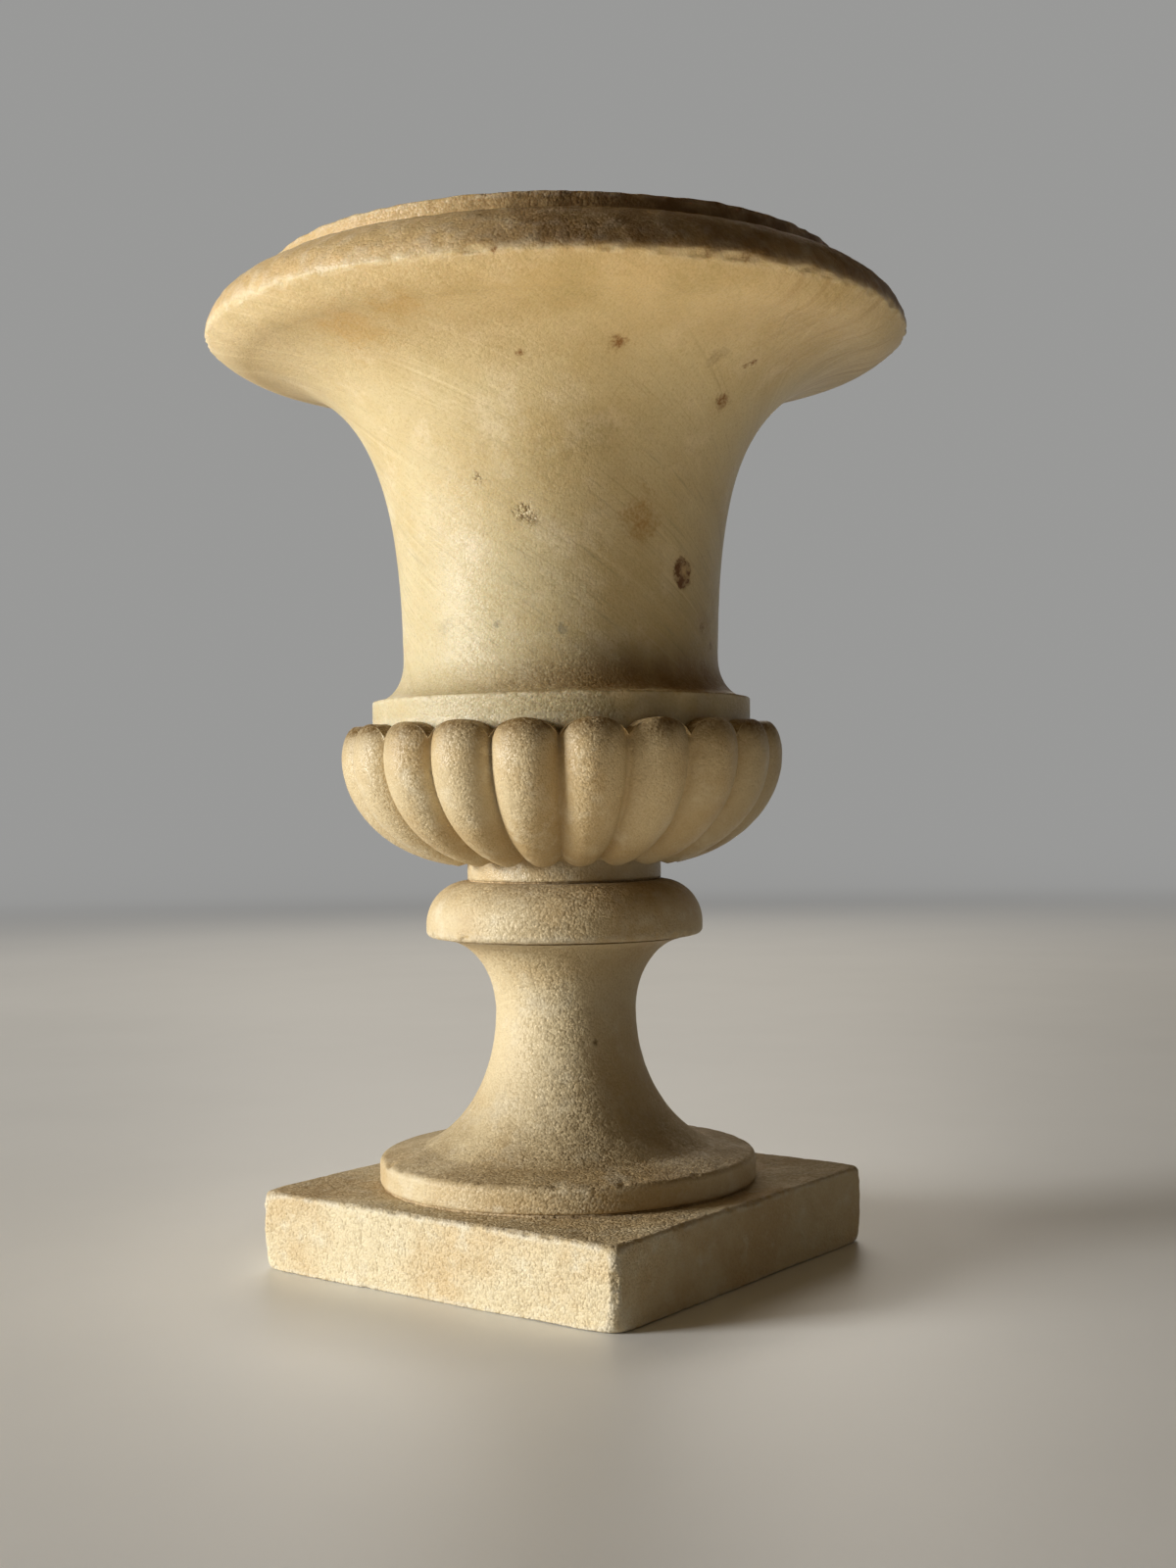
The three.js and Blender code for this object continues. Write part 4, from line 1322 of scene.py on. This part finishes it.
CREASE_SIZE = 0.0016
leather, tree, place = plain("dry_leather")
crazing = {"Vector": place, "Scale": 1 / CREASE_SIZE}
creases = node(tree, "TexVoronoi", crazing, feature="DISTANCE_TO_EDGE").outputs[0]
faded = ranged(tree, clouds(tree, place, 0.01), 0.35, 0.65)
colour = mixed(tree, faded, rgb(0.10, 0.055, 0.03), rgb(0.20, 0.12, 0.065))
colour = mixed(tree, ranged(tree, creases, 0.08, 0.0, 0.0, 0.7), colour, rgb(0.04, 0.022, 0.012))
finish(tree, colour, 0.8, ranged(tree, creases, 0.0, 0.15), 0.25)

finishes = {"mortar": mortar, "iron": iron, "leather": leather}
for piece in bpy.context.scene.objects:
    if piece.get("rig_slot") in finishes:
        piece.data.materials.append(finishes[piece["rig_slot"]])

# %% [markdown]
# ## The stage
# A photographer's cove: a pale floor that curves up into a wall all round, turned from one outline, so
# that the background is plain from every side. Far from the object the paint fades to a plain grey that
# only the camera and mirrored rays see, so the wall throws no light back and the stone keeps its shade.
# Near the object the floor is real and takes the shadow.

# %% Stage
FLOOR_DROP = 0.2
COVE_RADIUS = 4000
COVE_BEND = 900
COVE_WALL = 2600
FLOOR_FADE = (0.9, 3.6)
BACKDROP = rgb(0.32, 0.32, 0.315)

bend_end = at(COVE_RADIUS, COVE_BEND)
cove_shape = turned(
    [at(0, -FLOOR_DROP)]
    + drawn(at(2, -FLOOR_DROP), (at(COVE_RADIUS - COVE_BEND, -FLOOR_DROP), 400), (bend_end, 60, OUT_THEN_UP))
    + [bend_end, at(COVE_RADIUS, COVE_WALL)],
    96, closed=False,
)
bmesh.ops.reverse_faces(cove_shape, faces=cove_shape.faces)
cove_mesh = bpy.data.meshes.new("studio_cove")
cove_shape.to_mesh(cove_mesh)
cove_shape.free()
cove_mesh.shade_smooth()
cove = bpy.data.objects.new("studio_cove", cove_mesh)
bpy.context.scene.collection.objects.link(cove)
print("studio cove:", len(cove_mesh.polygons), "faces")

# %% Floor paint
paint, tree, place = plain("pale_floor_paint")
brushed = ranged(tree, clouds(tree, place, 0.35), 0.3, 0.7)
colour = mixed(tree, brushed, rgb(0.80, 0.80, 0.78), rgb(0.84, 0.84, 0.82))
painted, output = finish(tree, colour, 0.45, clouds(tree, place, 0.004), 0.05)
distance = vector(tree, "LENGTH", place)["Value"]
rays = node(tree, "LightPath").outputs
seen = maths(tree, "MAXIMUM", rays["Is Camera Ray"], rays["Is Glossy Ray"])
backdrop = node(tree, "Emission", {"Color": BACKDROP, "Strength": seen})
faded = node(tree, "MixShader", {0: ranged(tree, distance, *FLOOR_FADE), 1: painted.outputs[0],
                                 2: backdrop.outputs[0]})
tree.links.new(faded.outputs[0], output.inputs["Surface"])
cove_mesh.materials.append(paint)
print("the floor's paint fades out from", FLOOR_FADE[0], "to", FLOOR_FADE[1], "m")

# %% [markdown]
# ## Light
# One soft lamp stands far away on the left and low, as an evening sun does, so the right side falls into
# shade and the lip lights up along its edge. Two warm lamps lie flat on the floor and shine straight up,
# as a sunlit floor does, and light the underside of the lip. Three weak lamps, one of them
# straight above the well, and an even, warm sky fill the shadows. Lamps are hidden from the camera,
# which would otherwise see them in other views.

# %% Lamps and sky
TARGET = Vector((0, 0, 0.2))
DAYLIGHT = (1.0, 0.985, 0.95)
FLOOR_GLOW = (1.0, 0.785, 0.5)
SHADE_GLOW = (1.0, 0.74, 0.42)
SOFT_WARM = (1.0, 0.92, 0.8)
SKY_TINT = rgb(1.0, 0.72, 0.40)
SKY_STRENGTH = 0.075
BOUNCES = (
    ("floor_bounce_left", (-0.4, -0.5, 0.0), 0.7, 2.4, 95),
    ("floor_bounce_right", (0.42, -0.36, 0.0), 0.6, 2.3, 90),
)


def softbox(name, place, size, power, tint, target=TARGET, spread=180):
    """A square lamp that faces its target. A small spread keeps its light in a narrow beam."""
    light = bpy.data.lights.new(name, "AREA")
    light.size = size
    light.energy = power
    light.color = tint
    light.spread = math.radians(spread)
    lamp = bpy.data.objects.new(name, light)
    lamp.location = place
    lamp.rotation_euler = (target - Vector(place)).to_track_quat("-Z", "Y").to_euler()
    lamp.visible_camera = False
    bpy.context.scene.collection.objects.link(lamp)
    print(f"{name}: {power} W, {(TARGET - Vector(place)).length:.2f} m from the object's middle")
    return lamp


softbox("key_left", (-2.14, -2.64, 0.77), 1.16, 150, DAYLIGHT)
for name, place, size, power, spread in BOUNCES:
    bounce = softbox(name, place, size, power, FLOOR_GLOW, Vector(place) + UP, spread)
    bounce.visible_glossy = False
softbox("fill_right", (1.7, -0.5, 1.1), 1.2, 0.55, SHADE_GLOW)
softbox("fill_back", (-1.2, 1.6, 1.2), 1.2, 10, SOFT_WARM)
softbox("fill_top", (0.0, 0.0, 1.9), 0.25, 0.03, SOFT_WARM, spread=12)
world = bpy.data.worlds.new("even_sky")
world.use_nodes = True
world.node_tree.nodes["Background"].inputs["Color"].default_value = SKY_TINT
world.node_tree.nodes["Background"].inputs["Strength"].default_value = SKY_STRENGTH
bpy.context.scene.world = world

# %% [markdown]
# ## Camera
# The camera's place was found by matching the plinth's edges and the round rims with the photograph. It
# stands about 0.8 m away, a little below the middle of the object, and leans by less than a degree, as a
# hand-held camera does.

# %% Camera
CAMERA_DISTANCE = 784.9 * MM
CAMERA_HEIGHT = 186.5 * MM
CAMERA_AZIMUTH = math.radians(37.59)
CAMERA_YAW = math.radians(-0.756)
CAMERA_PITCH = math.radians(0.412)
CAMERA_ROLL = math.radians(0.817)
CAMERA_LENS = 43.87
CAMERA_SENSOR = 36

away = Vector((math.sin(CAMERA_AZIMUTH), -math.cos(CAMERA_AZIMUTH), 0))
ahead = Matrix.Rotation(CAMERA_YAW, 3, "Z") @ -away
ahead = (ahead * math.cos(CAMERA_PITCH) + UP * math.sin(CAMERA_PITCH)).normalized()
right = ahead.cross(UP).normalized()
upward = right.cross(ahead) * math.cos(CAMERA_ROLL) + right * math.sin(CAMERA_ROLL)
right = ahead.cross(upward)
lens = bpy.data.cameras.new("photo_camera")
lens.lens = CAMERA_LENS
lens.sensor_width = CAMERA_SENSOR
camera = bpy.data.objects.new("photo_camera", lens)
standing = Matrix.Translation(away * CAMERA_DISTANCE + UP * CAMERA_HEIGHT)
camera.matrix_world = standing @ Matrix((right, upward, -ahead)).transposed().to_4x4()
bpy.context.scene.collection.objects.link(camera)
bpy.context.scene.camera = camera
bpy.context.scene.view_settings.view_transform = "Standard"
print("camera at", [round(value, 3) for value in camera.matrix_world.translation])
